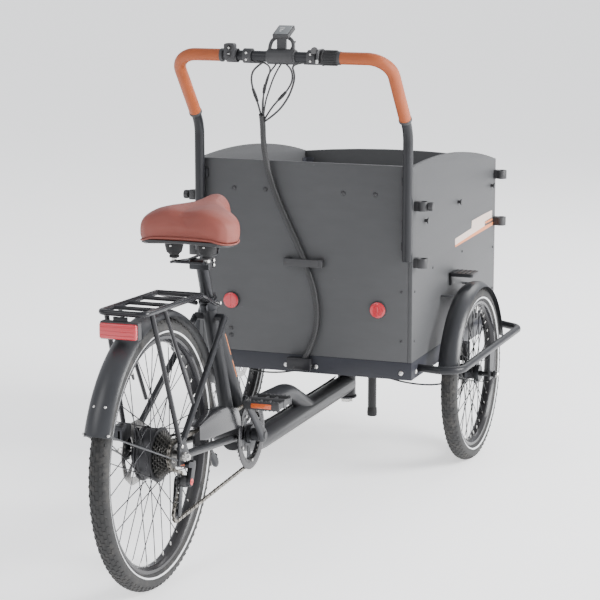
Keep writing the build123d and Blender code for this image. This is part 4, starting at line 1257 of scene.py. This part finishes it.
shell_rings = [turned("ring", flip(in_mm(((34, 13), (34, 23), (36, 25), (40, 25), (41, 22),
                                                               (41, 13))), s),
                      Vector((0, CRANK.y, CRANK.z)), M["black_metal"], 48) for s in (-1, 1)]
placed("rear_frame", "black_steel", joined("shell_rings", *shell_rings))
rivets = []
for side in (-1, 1):
    for spot in ((side * 31, -318, 452), (side * 14, -295, 512)):
        rivets.append(dome("rivet", at(*spot), (side * 0.5, -0.8, 0.4), 3.4 * mm, M["zinc"]))
placed("rear_frame", "steel", joined("mudguard_rivets", *rivets))
rack_feet = [dome("bolt", at(s * 75, -3, 356), (s, 0, 0), 5 * mm, M["zinc"]) for s in (-1, 1)]
rack_feet += [dome("bolt", at(s * 36, 338, 640), (s, 0, 0), 4.5 * mm, M["zinc"]) for s in (-1, 1)]
placed("rear_frame", "steel", joined("rack_bolts", *rack_feet))
print("small steel ready")

# %% [markdown]
# The rack's open tube ends are plugged. The rear light is a black case with a red prism face,
# and three raised ribs on it show where the lamps sit behind.

# %% Rack plugs and rear light
plugs = [dome("plug", at(s * 58, 160, 692), (0, 1, 0), 7 * mm, M["plastic"]) for s in (-1, 1)]
placed("rear_frame", "black_plastic", joined("rack_end_plugs", *plugs))
low, high = (Vector(v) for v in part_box("rear_light"))
case = block("lamp_case", (low.x, low.y + 9 * mm, low.z), (high.x, high.y, low.z + 43 * mm), M["plastic"],
             4 * mm, 3)
lens = block("lamp_lens", (low.x + 2 * mm, low.y, low.z + 3 * mm),
             (high.x - 2 * mm, low.y + 12 * mm, low.z + 40 * mm), M["red"], 5 * mm, 4)
ribs = [block("rib", (low.x + 6 * mm, low.y - 1.2 * mm, low.z + z * mm), (high.x - 6 * mm, low.y + 1 * mm,
                                                                        low.z + (z + 1.6) * mm), M["red"],
              0.5 * mm)
        for z in (11, 20.5, 30)]
bracket = block("lamp_bracket", (-18 * mm, low.y + 16 * mm, low.z + 38 * mm),
                (18 * mm, low.y + 21 * mm, high.z), M["gloss_black"], mm)
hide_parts("rear_light")
placed("rear_frame", "black_plastic", case, bracket)
placed("rear_frame", "red_lens", joined("lamp_face", lens, *ribs))
print("rack and light ready")

# %% [markdown]
# Soft parts start as a slightly small closed skin. It is remeshed into even squares, then a cloth
# simulation blows it up with gravity off, so that the skin bulges between its edges as foam under
# vinyl does. No point may move further than a cap, which keeps the size, and one subdivision
# smooths the result. The pressure is strong for the time given, so most points of the saddle and
# all those of the bench pad reach the cap: the cap sets how far they swell, not the cloth.

# %% Stuffing a soft form
PRESSURE, SIM_FRAMES = 4.0, 20


def stuffed(obj, finish, voxel=0.005, cap=0.008):
    remesh = obj.modifiers.new("even", "REMESH")
    remesh.mode, remesh.voxel_size = "VOXEL", voxel
    settle(obj)
    start = [v.co.copy() for v in obj.data.vertices]
    cloth = obj.modifiers.new("skin", "CLOTH")
    cloth.settings.use_pressure = True
    cloth.settings.uniform_pressure_force = PRESSURE
    cloth.settings.effector_weights.gravity = 0
    scene = bpy.context.scene
    for step in range(1, SIM_FRAMES + 1):
        scene.frame_set(step)
    settle(obj)
    for v, home in zip(obj.data.vertices, start):
        move = v.co - home
        if move.length > cap:
            v.co = home + move * (cap / move.length)
    scene.frame_set(1)
    relax = obj.modifiers.new("relax", "SMOOTH")
    relax.factor, relax.iterations = 0.5, 4
    finer = obj.modifiers.new("finer", "SUBSURF")
    finer.levels = finer.render_levels = 1
    settle(obj)
    finish_mesh(obj.data, finish, 80)
    print(obj.name, "stuffed,", len(obj.data.polygons), "faces")
    return obj


# %% [markdown]
# The saddle is wide behind, with two cushions and a shallow valley between them, and it narrows
# to a raised nose. Each station along it gives the half width, the lower edge, the crown and the
# depth of the valley. The skirt is steep and ends in a black base with a welt round it.

# %% Saddle
STATIONS = [(169, 74, 826, 868, 1), (176, 100, 817, 884, 4), (190, 117, 813, 892, 8),
            (212, 126, 811, 896, 10),
            (240, 128, 811, 897, 9), (272, 119, 813, 896, 6), (302, 98, 817, 895, 3), (332, 72, 821, 896, 2),
            (362, 51, 823, 899, 1), (392, 41, 823, 902, 0), (418, 36, 827, 902, 0), (430, 27, 836, 897, 0),
            (436, 12, 850, 886, 0)]


def saddle_ring(y, half, low, high, valley):
    shoulder = low + (high - low) * 0.36
    ring = []
    for i in range(19):
        a = pi * i / 18
        x = half * cos(a)
        z = shoulder + (high - shoulder) * sin(a) ** 0.82 - valley * 2.718 ** -((x / 30) ** 2)
        ring.append(at(x, y, z))
    for share, z in ((1.0, low + (shoulder - low) * 0.45), (0.985, low + 3), (0.95, low)):
        ring.append(at(-half * share, y, z))
    for share in (0.6, 0.2, -0.2, -0.6):
        ring.append(at(-half * share, y, low))
    for share, z in ((0.95, low), (0.985, low + 3), (1.0, low + (shoulder - low) * 0.45)):
        ring.append(at(half * share, y, z))
    return ring


seat = loft("saddle_cover", [saddle_ring(*row) for row in STATIONS], M["saddle"], 80)
stuffed(seat, M["saddle"], 0.005, 0.004)
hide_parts("saddle")
placed("saddle_post", "saddle_vinyl", seat)
edge = [at(half * 0.965 * side, y, low + 1.0) for side,
        rows in ((1, STATIONS), (-1, list(reversed(STATIONS))))
        for y, half, low, high, valley in rows]
placed("saddle_post", "saddle_vinyl", pipe("saddle_welt", edge, 2.2 * mm, M["saddle"], closed=True))
base_rings = []
for y, half, low, high, valley in STATIONS[1:-1]:
    base_rings.append([at(x * half, y, low + z) for x, z in
                       ((-0.93, 1), (-0.95, -4), (-0.86, -7), (-0.5, -5), (0, -3), (0.5, -5), (0.86, -7),
                        (0.95, -4), (0.93, 1), (0, 2))])
placed("saddle_post", "black_plastic", loft("saddle_base", base_rings, M["plastic"]))
bumpers, rails = [], []
cup = [(0, 8), (0, 12), (4, 13), (6, 11), (10, 14), (14, 19), (30, 23), (43, 24), (45, 20)]
for side in (-1, 1):
    foot = at(side * 44, 236, 768)
    bumpers.append(spun("bumper", cup, foot, (0, 0, 1), M["soft_rubber"]))
    bumpers.append(spun("bolt", [(-8, 5), (-8, 7.5), (-1, 7.5), (0, 4)], foot, (0, 0, 1), M["steel"], 6))
    bumpers.append(dome("stud", at(side * 44, 213.5, 800), (0, -1, 0.1), 3 * mm, M["zinc"]))
    rails.append(pipe("rail", bend([at(side * 44, 214, 759.5), at(side * 22, 272, 757.5),
                                    at(side * 22, 356, 757.5),
                                    at(side * 9, 408, 816)], 0.026), 3.5 * mm, M["black_metal"],
                      smooth=False))
rails.append(bar("cross", at(-44, 234, 757.5), at(44, 234, 757.5), 4 * mm, M["black_metal"], 16))
rails.append(block("nose_clip", at(-20, 398, 811), at(20, 414, 820), M["black_metal"], 1.5 * mm))
rails = joined("saddle_rails", *rails)
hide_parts("saddle_frame")
placed("saddle_post", "black_plastic", joined("saddle_bumpers", *bumpers))
placed("saddle_post", "steel", rails)
clamp_bolts = [dome("bolt", at(s * 27, 318, 744 + z), (s, 0, 0), 5 * mm, M["zinc"])
               for s in (-1, 1) for z in (-4, 8)]
placed("saddle_post", "steel", joined("saddle_clamp_bolts", *clamp_bolts))
print("saddle ready")

# %% [markdown]
# Each grip is a leather sleeve that runs round the corner of the bar. It is closed by a seam of
# waxed thread on the front, laid by the path tree, and by a black ring at each end.

# %% Grips
BAR_Y, BAR_Z = 862, 1217      # the middle of the handlebar, in drawing millimetres
UPRIGHT_X = 308               # its two upright legs
GRIP_RADIUS = 17


def grip(side):
    label = "right" if side > 0 else "left"
    line = bend([at(side * UPRIGHT_X, 1004, 1042), at(side * UPRIGHT_X, BAR_Y, BAR_Z),
                 at(side * 165.5, BAR_Y, BAR_Z)], 0.062, 12)
    skin = pipe(f"grip_leather_{label}", line, GRIP_RADIUS * mm, M["grip"], smooth=False, rings=8)
    if side > 0:
        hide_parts("bar_sleeves")
    placed("box", "grip_leather", skin)
    seam = [p + Vector((0, 0.78, 0.63)) * 16.9 * mm for p in line]
    path = as_object("seam_path", route(seam, smooth=False))
    stitch = bar("stitch", (0, 0, -1.9 * mm), (0, 0, 1.9 * mm), 0.9 * mm, M["thread"], 6)
    run = sum((b - a).length for a, b in zip(seam, seam[1:]))
    sewn = grown(f"grip_stitches_{label}", PATH, M["thread"], 60, Part=stitch, Path=path,
                 Count=round(run / 0.0055), Offset=0.0, Every=1)
    placed("box", "grip_leather", sewn)
    ends = []
    for spot, along in ((line[0], line[1] - line[0]), (line[-1], line[-2] - line[-1])):
        ends.append(spun("ring", [(-2, 14.2), (-2, 17.5), (0, 18.4), (5, 18.4), (7, 17.4), (7, 14.2)], spot,
                         along, M["plastic"]))
    placed("box", "black_plastic", joined(f"grip_rings_{label}", *ends))


grip(1)
grip(-1)
print("grips ready")

# %% [markdown]
# The controls are small mouldings round the bar. A brake lever's blade is a loft along a curve,
# flat where the fingers pull and round at its tip. It turns on a boss above the housing.

# %% Brake levers
LEVER_Z = 1220
LEVER_PIVOT = (100, 896)


def curve_spot(points, t):
    """A point on the quadratic curve of three points."""
    a, b, c = points
    return a * (1 - t) ** 2 + b * 2 * t * (1 - t) + c * t * t


def lever(side, body, node):
    spots = [at(side * x, y, LEVER_Z) for x, y in (LEVER_PIVOT, (146, 928), (222, 910))]
    rings = []
    for t, tall, thick in ((0, 13, 13), (0.08, 12, 12), (0.2, 10, 8), (0.5, 10, 7), (0.85, 10, 7),
                           (0.94, 11, 9), (0.98, 10, 9), (1.0, 5, 5)):
        centre = curve_spot(spots, t)
        ahead = (curve_spot(spots, min(1, t + 0.05)) - curve_spot(spots, max(0, t - 0.05))).normalized()
        across = Vector((-ahead.y, ahead.x, 0))
        rings.append([centre + across * thick / 2 * mm * cos(a) + Vector((0, 0, tall / 2 * mm * sin(a)))
                      for a in around(16)])
    blade = loft("blade", rings, M["black_metal"], 60)
    hinge = spun("hinge", [(0, 4), (0, 9), (10, 9), (10, 4)],
                 at(side * LEVER_PIVOT[0], LEVER_PIVOT[1], LEVER_Z - 5.5), (0, 0, 1), M["black_metal"])
    piece = joined(f"brake_blade_{'right' if side > 0 else 'left'}", blade, hinge)
    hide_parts(node)
    placed(body, "black_steel", piece)


lever(1, "right_lever", "brake_lever_right")
lever(-1, "left_lever", "brake_lever_left")
lids = []
for side in (-1, 1):
    lids.append(block("lid", at(side * 83 - 22, 887, 1213), at(side * 83 + 22, 903, 1216.5),
                      M["smooth_plastic"], mm))
    for x in (-16, 16):
        lids.append(dome("screw", at(side * 83 + x, 895, 1216), (0, 0, 1), 2.4 * mm, M["zinc"]))
    for z in (-9, 9):
        lids.append(dome("bolt", at(side * 92, 842, BAR_Z + z), (0, -1, 0), 3.4 * mm, M["zinc"]))
placed("box", "black_plastic", joined("lever_details", *lids))
print("levers ready")

# %% [markdown]
# The twist shifter is a ribbed rubber barrel beside its housing, which has a small white gear
# window. The screen is a flat case on an arch, leaning far back to face the rider, and the two
# buttons carry a plus and a minus.

# %% Twist shifter, screen and buttons
SHIFT = at(0, BAR_Y, BAR_Z)
body_line = [(118, 14.3), (118, 20), (120, 21.5), (124, 22), (126, 20.4), (162, 19), (164.4, 18),
             (164.4, 14.3)]
twist = turned("shifter_body", in_mm(body_line), SHIFT, M["soft_rubber"], 72)
rib = block("rib", (127 * mm, 19 * mm, -1.6 * mm), (162 * mm, 21 * mm, 1.6 * mm), M["soft_rubber"], 0.7 * mm,
            1)
twist_ribs = grown("shifter_ribs", RING, M["soft_rubber"], 40, Part=rib, Count=18, Phase=0.0, Centre=SHIFT)
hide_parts("twist_shifter")
placed("gear_twist", "black_plastic", twist, twist_ribs)
housing = block("shifter_housing", at(110, 834, 1201), at(117.4, 884, 1240), M["plastic"], 3 * mm, 3)
window = block("gear_window", at(110.5, 832.6, 1203), at(116.6, 835, 1213), M["white_print"], 0.6 * mm)
gauge = spun("dial", [(0, 9), (0, 10), (3, 10), (4, 9)], at(104, 842, 1236), (0, -1, 0.35),
             M["smooth_plastic"])
placed("box", "black_plastic", joined("shifter_mount", housing, window, gauge))


def leaning(name, half_w, half_h, low, high, finish, centre, ease, tilt=(0, -0.39, 0.921)):
    """A slab that leans back like the screen, from one depth to another along its facing."""
    facing = Vector(tilt).normalized()
    up = facing.cross(Vector((1, 0, 0)))
    corners = []
    for x in (-half_w, half_w):
        for z in (-half_h, half_h):
            for depth in (low, high):
                corners.append(centre + Vector((x * mm, 0, 0)) + up * z * mm + facing * depth * mm)
    faces = [(0, 1, 3, 2), (4, 6, 7, 5), (0, 4, 5, 1), (2, 3, 7, 6), (0, 2, 6, 4), (1, 5, 7, 3)]
    return softened(solid(name, corners, faces, finish), ease * mm, 3)


SCREEN = at(2, 882, 1281)
glass = leaning("screen_glass", 19.5, 24.5, 5, 7.2, M["screen"], SCREEN, 0.8)
bars = []
for i, wide in enumerate((13, 9, 6)):
    spot = SCREEN + Vector((-6 * mm, 0, 0)) + Vector((0, 0.921, 0.39)) * (10 - 9 * i) * mm
    bars.append(leaning("level", wide / 2, 1.2, 7.1, 7.5, M["white_print"], spot, 0.1))
placed("box", "black_plastic", glass, joined("screen_levels", *bars))
arch = []
for side in (-1, 1):
    arch.append(pipe("arm", [at(4 + side * 34, 858, 1232), at(4 + side * 34, 862, 1250),
                             at(4 + side * 24, 868, 1266),
                             at(2 + side * 8, 872, 1270)], 5 * mm, M["plastic"], order=3))
    arch.append(turned("band", in_mm(((-7, 14.2), (-7, 18), (-5, 19.5), (5, 19.5), (7, 18),
                                                          (7, 14.2))), at(4 + side * 34, BAR_Y, BAR_Z),
                       M["plastic"], 40))
placed("box", "black_plastic", joined("screen_arch", *arch))
marks = []
for z, arms in ((1223, ((0, 1),)), (1239, ((0, 1), (1, 0)))):
    for upright in arms:
        w, h = (3.4, 0.7) if upright[1] else (0.7, 3.4)
        marks.append((z, block("sign", at(-137 - w, 828.4, z - h), at(-137 + w, 829.2, z + h),
                               M["white_print"], 0.1 * mm)))
placed("button_lower", "black_plastic", joined("minus_sign", *[m for z, m in marks if z == 1223]))
placed("button_upper", "black_plastic", joined("plus_sign", *[m for z, m in marks if z == 1239]))
print("controls ready")

# %% [markdown]
# Six thin cables leave the controls, hang in open loops and gather into one sleeve, which runs
# down the rear panel under a strap and into the apron. They are held at both ends, so each one
# is a smooth curve through a few points. Three of them carry waterproof plugs.

# %% Cables
GATHER = (-104, 998, 1022)
CABLES = {
    "brake_hose_left": (2.8, [(-58, 890, 1200), (-73, 892, 1191), (-98, 905, 1172), (-110, 925, 1146),
                              (-112, 945, 1117), (-105, 965, 1079)]),
    "brake_hose_right": (2.8, [(58, 890, 1200), (18, 894, 1196), (22, 915, 1164), (7, 940, 1132),
                               (-18, 960, 1091), (-57, 978, 1050)]),
    "gear_cable": (2.6, [(112, 880, 1206), (50, 888, 1200), (-2, 892, 1200), (14, 908, 1181), (11, 928, 1150),
                         (-11, 948, 1120), (-40, 963, 1095), (-79, 980, 1057)]),
    "screen_wire": (2.3, [(0, 880, 1268), (-10, 884, 1226), (-19, 887, 1197), (-50, 905, 1168),
                          (-69, 925, 1136), (-86, 952, 1095)]),
    "button_wire": (2.3, [(-122, 868, 1206), (-76, 882, 1203), (-37, 889, 1190), (-56, 915, 1153),
                          (-81, 948, 1112), (-97, 972, 1070)]),
    "throttle_wire": (2.3, [(40, 868, 1258), (16, 884, 1226), (-9, 889, 1195), (-37, 910, 1160),
                            (-61, 935, 1119), (-84, 960, 1078)]),
}
for name, (radius, points) in CABLES.items():
    line = [at(*p) for p in points] + [at(*GATHER)]
    placed("box", "cable_black", pipe(name, line, radius * mm, M["cable"]))
plugs = []
for foot, tip in (((-112, 942, 1122), (-106, 963, 1083)), ((-18, 952, 1114), (-46, 966, 1089)),
                  ((-69, 926, 1135), (-80, 943, 1109))):
    along = at(*tip) - at(*foot)
    size = along.length / mm
    plugs.append(spun("plug", [(0, 2), (2, 4), (size * 0.45, 4.6), (size * 0.5, 5.2), (size * 0.55, 4.6),
                               (size - 2, 4), (size, 2)], at(*foot), along, M["soft_rubber"], 20))
placed("box", "cable_black", joined("wire_plugs", *plugs))

HARNESS = [GATHER, (-110, 1015, 966), (-103, 1030, 890), (-80, 1034, 818), (-50, 1034, 752), (-20, 1034, 692),
           (8, 1034, 630), (32, 1034, 566), (44, 1034, 502), (42, 1034, 440), (24, 1034, 388), (2, 1036, 346)]
points = [at(*p) for p in [(-102, 984, 1046)] + HARNESS]
sleeve = pipe("cable_sleeve", points, 8 * mm, M["cable"], rings=6)
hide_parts("harness")
placed("box", "cable_black", sleeve)
path = as_object("sleeve_path", route(points))
wrap = spun("wrap", [(-1.0, 7.9), (-0.6, 8.5), (0.6, 8.5), (1.0, 7.9)], (0, 0, 0), (0, 0, 1), M["cable"], 12)
run = sum((b - a).length for a, b in zip(points, points[1:]))
wraps = grown("sleeve_wraps", PATH, M["cable"], 50, Part=wrap, Path=path, Count=round(run / 0.0045),
              Offset=0.0, Every=1)
placed("box", "cable_black", wraps)
strap = block("sleeve_strap", at(-50, 1022, 618), at(50, 1026, 640), M["plastic"], 1.8 * mm, 3)
pads = [block("pad", at(x - 9, 1024, 617), at(x + 9, 1045.8, 641), M["plastic"], 3 * mm, 3) for x in (-46,
                                                                                                      52)]
cover = block("sleeve_cover", at(-44, 1022, 322), at(28, 1045.5, 356), M["gloss_black"], 2.5 * mm, 3)
placed("box", "black_plastic", joined("sleeve_strap_set", strap, *pads))
placed("box", "apron", cover)

FRAME_CABLE = [(-62, 92, 334), (-58, 190, 322), (-50, 300, 306), (-41, 400, 298), (-41, 470, 305),
               (-36, 560, 262), (-34, 660, 236), (-32, 790, 214), (-33, 930, 212), (-33, 1090, 214),
               (-33, 1260, 212), (-33, 1395, 214)]
motor_lead = pipe("motor_lead", [at(*p) for p in FRAME_CABLE], 3.4 * mm, M["cable"])
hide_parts("frame_cable")
shift_line = pipe("shift_line", [at(x + 4, y + 4, z + 7) for x, y, z in FRAME_CABLE[3:]], 2.2 * mm,
                  M["cable"])
placed("rear_frame", "cable_black", motor_lead, shift_line)
print("cables ready")

# %% [markdown]
# Bolts, studs and reflectors finish the box. Plated carriage bolts hold the apron, and black ones
# the boards. The studs on the sides take the eyelets of a rain cover. Each red reflector is a disc
# in a black ring, split by one ridge.

# %% Bolts, studs and reflectors
silver = [dome("bolt", at(x, 1046, 330), (0, -1, 0), 7 * mm, M["zinc"]) for x in (-54, 36, 288, -288)]
silver += [dome("bolt", at(s * 319, y, 330), (s, 0, 0), 7 * mm, M["zinc"]) for s in (-1, 1) for y in (1085,
                                                                                                      1860)]
black = [dome("bolt", at(x, 1046, 829), (0, -1, 0), 6.4 * mm, M["plastic"]) for x in (-210, -116, 116, 210)]
black += [dome("bolt", at(x, 1046, z), (0, -1, 0), 4 * mm, M["plastic"]) for x in (-288, 288) for z in (420,
                                                                                                        560,
                                                                                                        760)]
black += [dome("bolt", at(-222, 1046, z), (0, -1, 0), 6 * mm, M["plastic"]) for z in (404, 424)]
black += [dome("bolt", at(s * 319, y, z), (s, 0, 0), 4 * mm, M["plastic"]) for s in (-1, 1)
          for y, z in ((1068, 560), (1068, 420), (1888, 560), (1888, 430), (1540, 600), (1240, 600))]
shapes = [(0, 5), (5, 4.4), (7, 5), (9, 8.6), (11.5, 9), (12, 8)]
studs = [spun("stud", shapes, at(s * 319, y, z), (s, 0, 0), M["plastic"], 24)
         for s in (-1, 1) for y, z in ((1158, 747), (1490, 755), (1857, 757))]
carriage = joined("carriage_bolts", *silver)
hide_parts("panel_bolts")
placed("box", "steel", carriage)
placed("box", "black_plastic", joined("board_bolts", *black), joined("cover_studs", *studs))
for side in (-1, 1):
    label = "right" if side > 0 else "left"
    spot = at(side * 220, 1046, 506)
    seat_ring = spun("ring", [(0, 24), (4, 24), (5, 23), (5, 20)], spot, (0, -1, 0), M["plastic"], 48)
    face = spun("face", [(3, 22.4), (7, 22.2), (8.6, 20), (9, 16)], spot, (0, -1, 0), M["red"], 48)
    ridge = block("ridge", spot + Vector((-1.1 * mm, -10.2 * mm, -21 * mm)),
                  spot + Vector((1.1 * mm, -7 * mm, 21 * mm)), M["red"], 0.7 * mm)
    lens = joined(f"reflector_{label}", face, ridge)
    if side > 0:
        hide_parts("reflectors")
    placed("box", "red_lens", lens)
    placed("box", "black_plastic", joined(f"reflector_seat_{label}", seat_ring))
print("fittings ready")

# %% [markdown]
# Printed stripes are thin films. A pale band with a step in it and an orange lower edge lies
# near the front of each side panel, and two short orange strokes run up the curved tube.

# %% Stripes
PANEL_X = 319      # the outer face of a side panel, in drawing millimetres


def film(name, outline, side, finish, lift=0.35):
    x = sorted((side * PANEL_X * mm, side * (PANEL_X + lift) * mm))
    return plate_of(name, [[(at(0, y, z).y, z * mm) for y, z in outline]], *x, finish)


for side, label in ((1, "right"), (-1, "left")):
    band = film("band", [(1466, 630), (1464, 649), (1640, 655), (1645, 677), (1800, 679), (1872, 678),
                         (1872, 656), (1790, 654), (1788, 640)], side, M["beige_print"])
    edge = film("edge", [(1466, 624), (1466, 630), (1788, 640), (1886, 640), (1886, 630)], side,
                M["orange_print"], 0.45)
    cuts = film("cuts", [(1800, 646), (1790, 652), (1872, 653), (1880, 646)], side, M["orange_print"], 0.5)
    placed("box", "orange_lens", joined(f"stripe_{label}", band, edge, cuts))
strokes = []
for side in (-1, 1):
    for t0, t1 in ((0.12, 0.34), (0.40, 0.58)):
        a, b = at(side * 23.6, 378 + 167 * t0, 582 - 277 * t0), at(side * 23.6, 378 + 167 * t1,
                                                                   582 - 277 * t1)
        strokes.append(bar("stroke", a, b, 1.6 * mm, M["orange_print"], 8))
placed("rear_frame", "orange_lens", joined("tube_strokes", *strokes))
print("stripes ready")

# %% [markdown]
# Inside the box the bench has a cloth cushion, made by the same stuffing as the saddle, with a
# welt round its top edge. Four webbing straps hang from the rear panel, each with a buckle that
# has a red release.

# %% Bench cushion and belts
low, high = (Vector(v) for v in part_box("bench_cushion"))
pad = block("bench_pad", low + Vector((4, 4, 0)) * mm, high - Vector((4, 4, 6)) * mm, M["cushion"], 14 * mm,
            5)
stuffed(pad, M["cushion"], 0.006, 0.006)
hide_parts("bench_cushion")
placed("bench", "cushion_fabric", pad)
welt = bend([Vector((low.x + 2 * mm, (low.y + high.y) / 2, 0)), Vector((low.x + 2 * mm, low.y + 2 * mm, 0)),
             Vector((high.x - 2 * mm, low.y + 2 * mm, 0)), Vector((high.x - 2 * mm, high.y - 2 * mm, 0)),
             Vector((low.x + 2 * mm, high.y - 2 * mm, 0)),
             Vector((low.x + 2 * mm, (low.y + high.y) / 2 + mm, 0))], 0.03)
for z, name in ((low.z + 10 * mm, "low"), (high.z - 10 * mm, "high")):
    placed("bench", "cushion_fabric",
           pipe(f"cushion_welt_{name}", [p + Vector((0, 0, z)) for p in welt], 2.4 * mm, M["webbing"],
                smooth=False, closed=True))
for i, x in enumerate((-210, -116, 116, 210)):
    strip = [at(x, 1058.6, 843), at(x, 1059.5, 790), at(x + 2, 1061, 740), at(x, 1060, 690),
             at(x - 1, 1064, 668)]
    rings = [[p + Vector((sx * 12, sy * 1.0, 0)) * mm for sx, sy in ((-1, -1), (1, -1), (1, 1), (-1, 1))]
             for p in strip]
    web = softened(loft("web", rings, M["webbing"], 30), 0.4 * mm)
    if i == 0:
        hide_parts("seat_belts")
    web.name = f"belt_web_{i}"
    buckle = block("buckle", at(x - 15, 1058.6, 664), at(x + 15, 1068, 700), M["plastic"], 3 * mm, 3)
    tab = block("release", at(x - 7, 1067, 672), at(x + 7, 1069.5, 688), M["red_print"], mm)
    placed("box", "belt_web", web)
    placed("box", "black_plastic", joined(f"belt_buckle_{i}", buckle, tab))
print("bench ready")

# %% [markdown]
# Last come the small things underneath and at the sides: ribbed tops on the step pads, a rubber
# foot on the front leg, hose lines to the front brakes, and nuts on the axle ends.

# %% Steps, foot, hoses and axle ends
treads, nuts, hoses = [], [], []
for side in (-1, 1):
    for i in range(5):
        x = side * (330 + 13 * i)
        treads.append(block("tread", at(x - 2, 1406, 557.8), at(x + 2, 1464, 559.6), M["soft_rubber"],
                            0.7 * mm))
    nuts.append(spun("nut", [(0, 4), (0, 9), (6, 9), (7, 8), (9, 6), (9, 0.5)],
                     (side * 0.456, RIGHT.y, RIGHT.z), (side, 0, 0), M["steel"], 6))
    hoses.append(pipe("hose", [at(side * 60, 1380, 306), at(side * 70, 1372, 262), at(side * 180, 1372, 226),
                               at(side * 300, 1392, 220), at(side * 346, 1440, 246),
                               at(side * 352, 1496, 288)],
                      2.6 * mm, M["cable"]))
    nuts += [dome("bolt", at(side * 345, 1500, z), (0, 1, 0), 4 * mm, M["steel"]) for z in (296, 330)]
placed("box", "rubber", joined("step_ribs", *treads))
placed("box", "steel", joined("front_axle_nuts", *nuts))
placed("box", "cable_black", joined("front_brake_hoses", *hoses))
foot = spun("foot_tip", [(0, 12), (0, 14), (2, 15.4), (14, 15.6), (26, 14.6), (27, 13.4)], at(0, 1664, 44),
            (0, 0, 1), M["soft_rubber"])
placed("box", "rubber", foot)
handle = pipe("battery_handle", bend([at(-60, 1302, 400), at(-60, 1316, 400), at(20, 1316, 400),
                                      at(20, 1302, 400)],
                                     0.008), 4 * mm, M["plastic"], smooth=False)
placed("box", "black_plastic", handle)
print("steps, foot, hoses and axle ends ready")

# %% The imported model's bounds
low, high = CAD_BOX
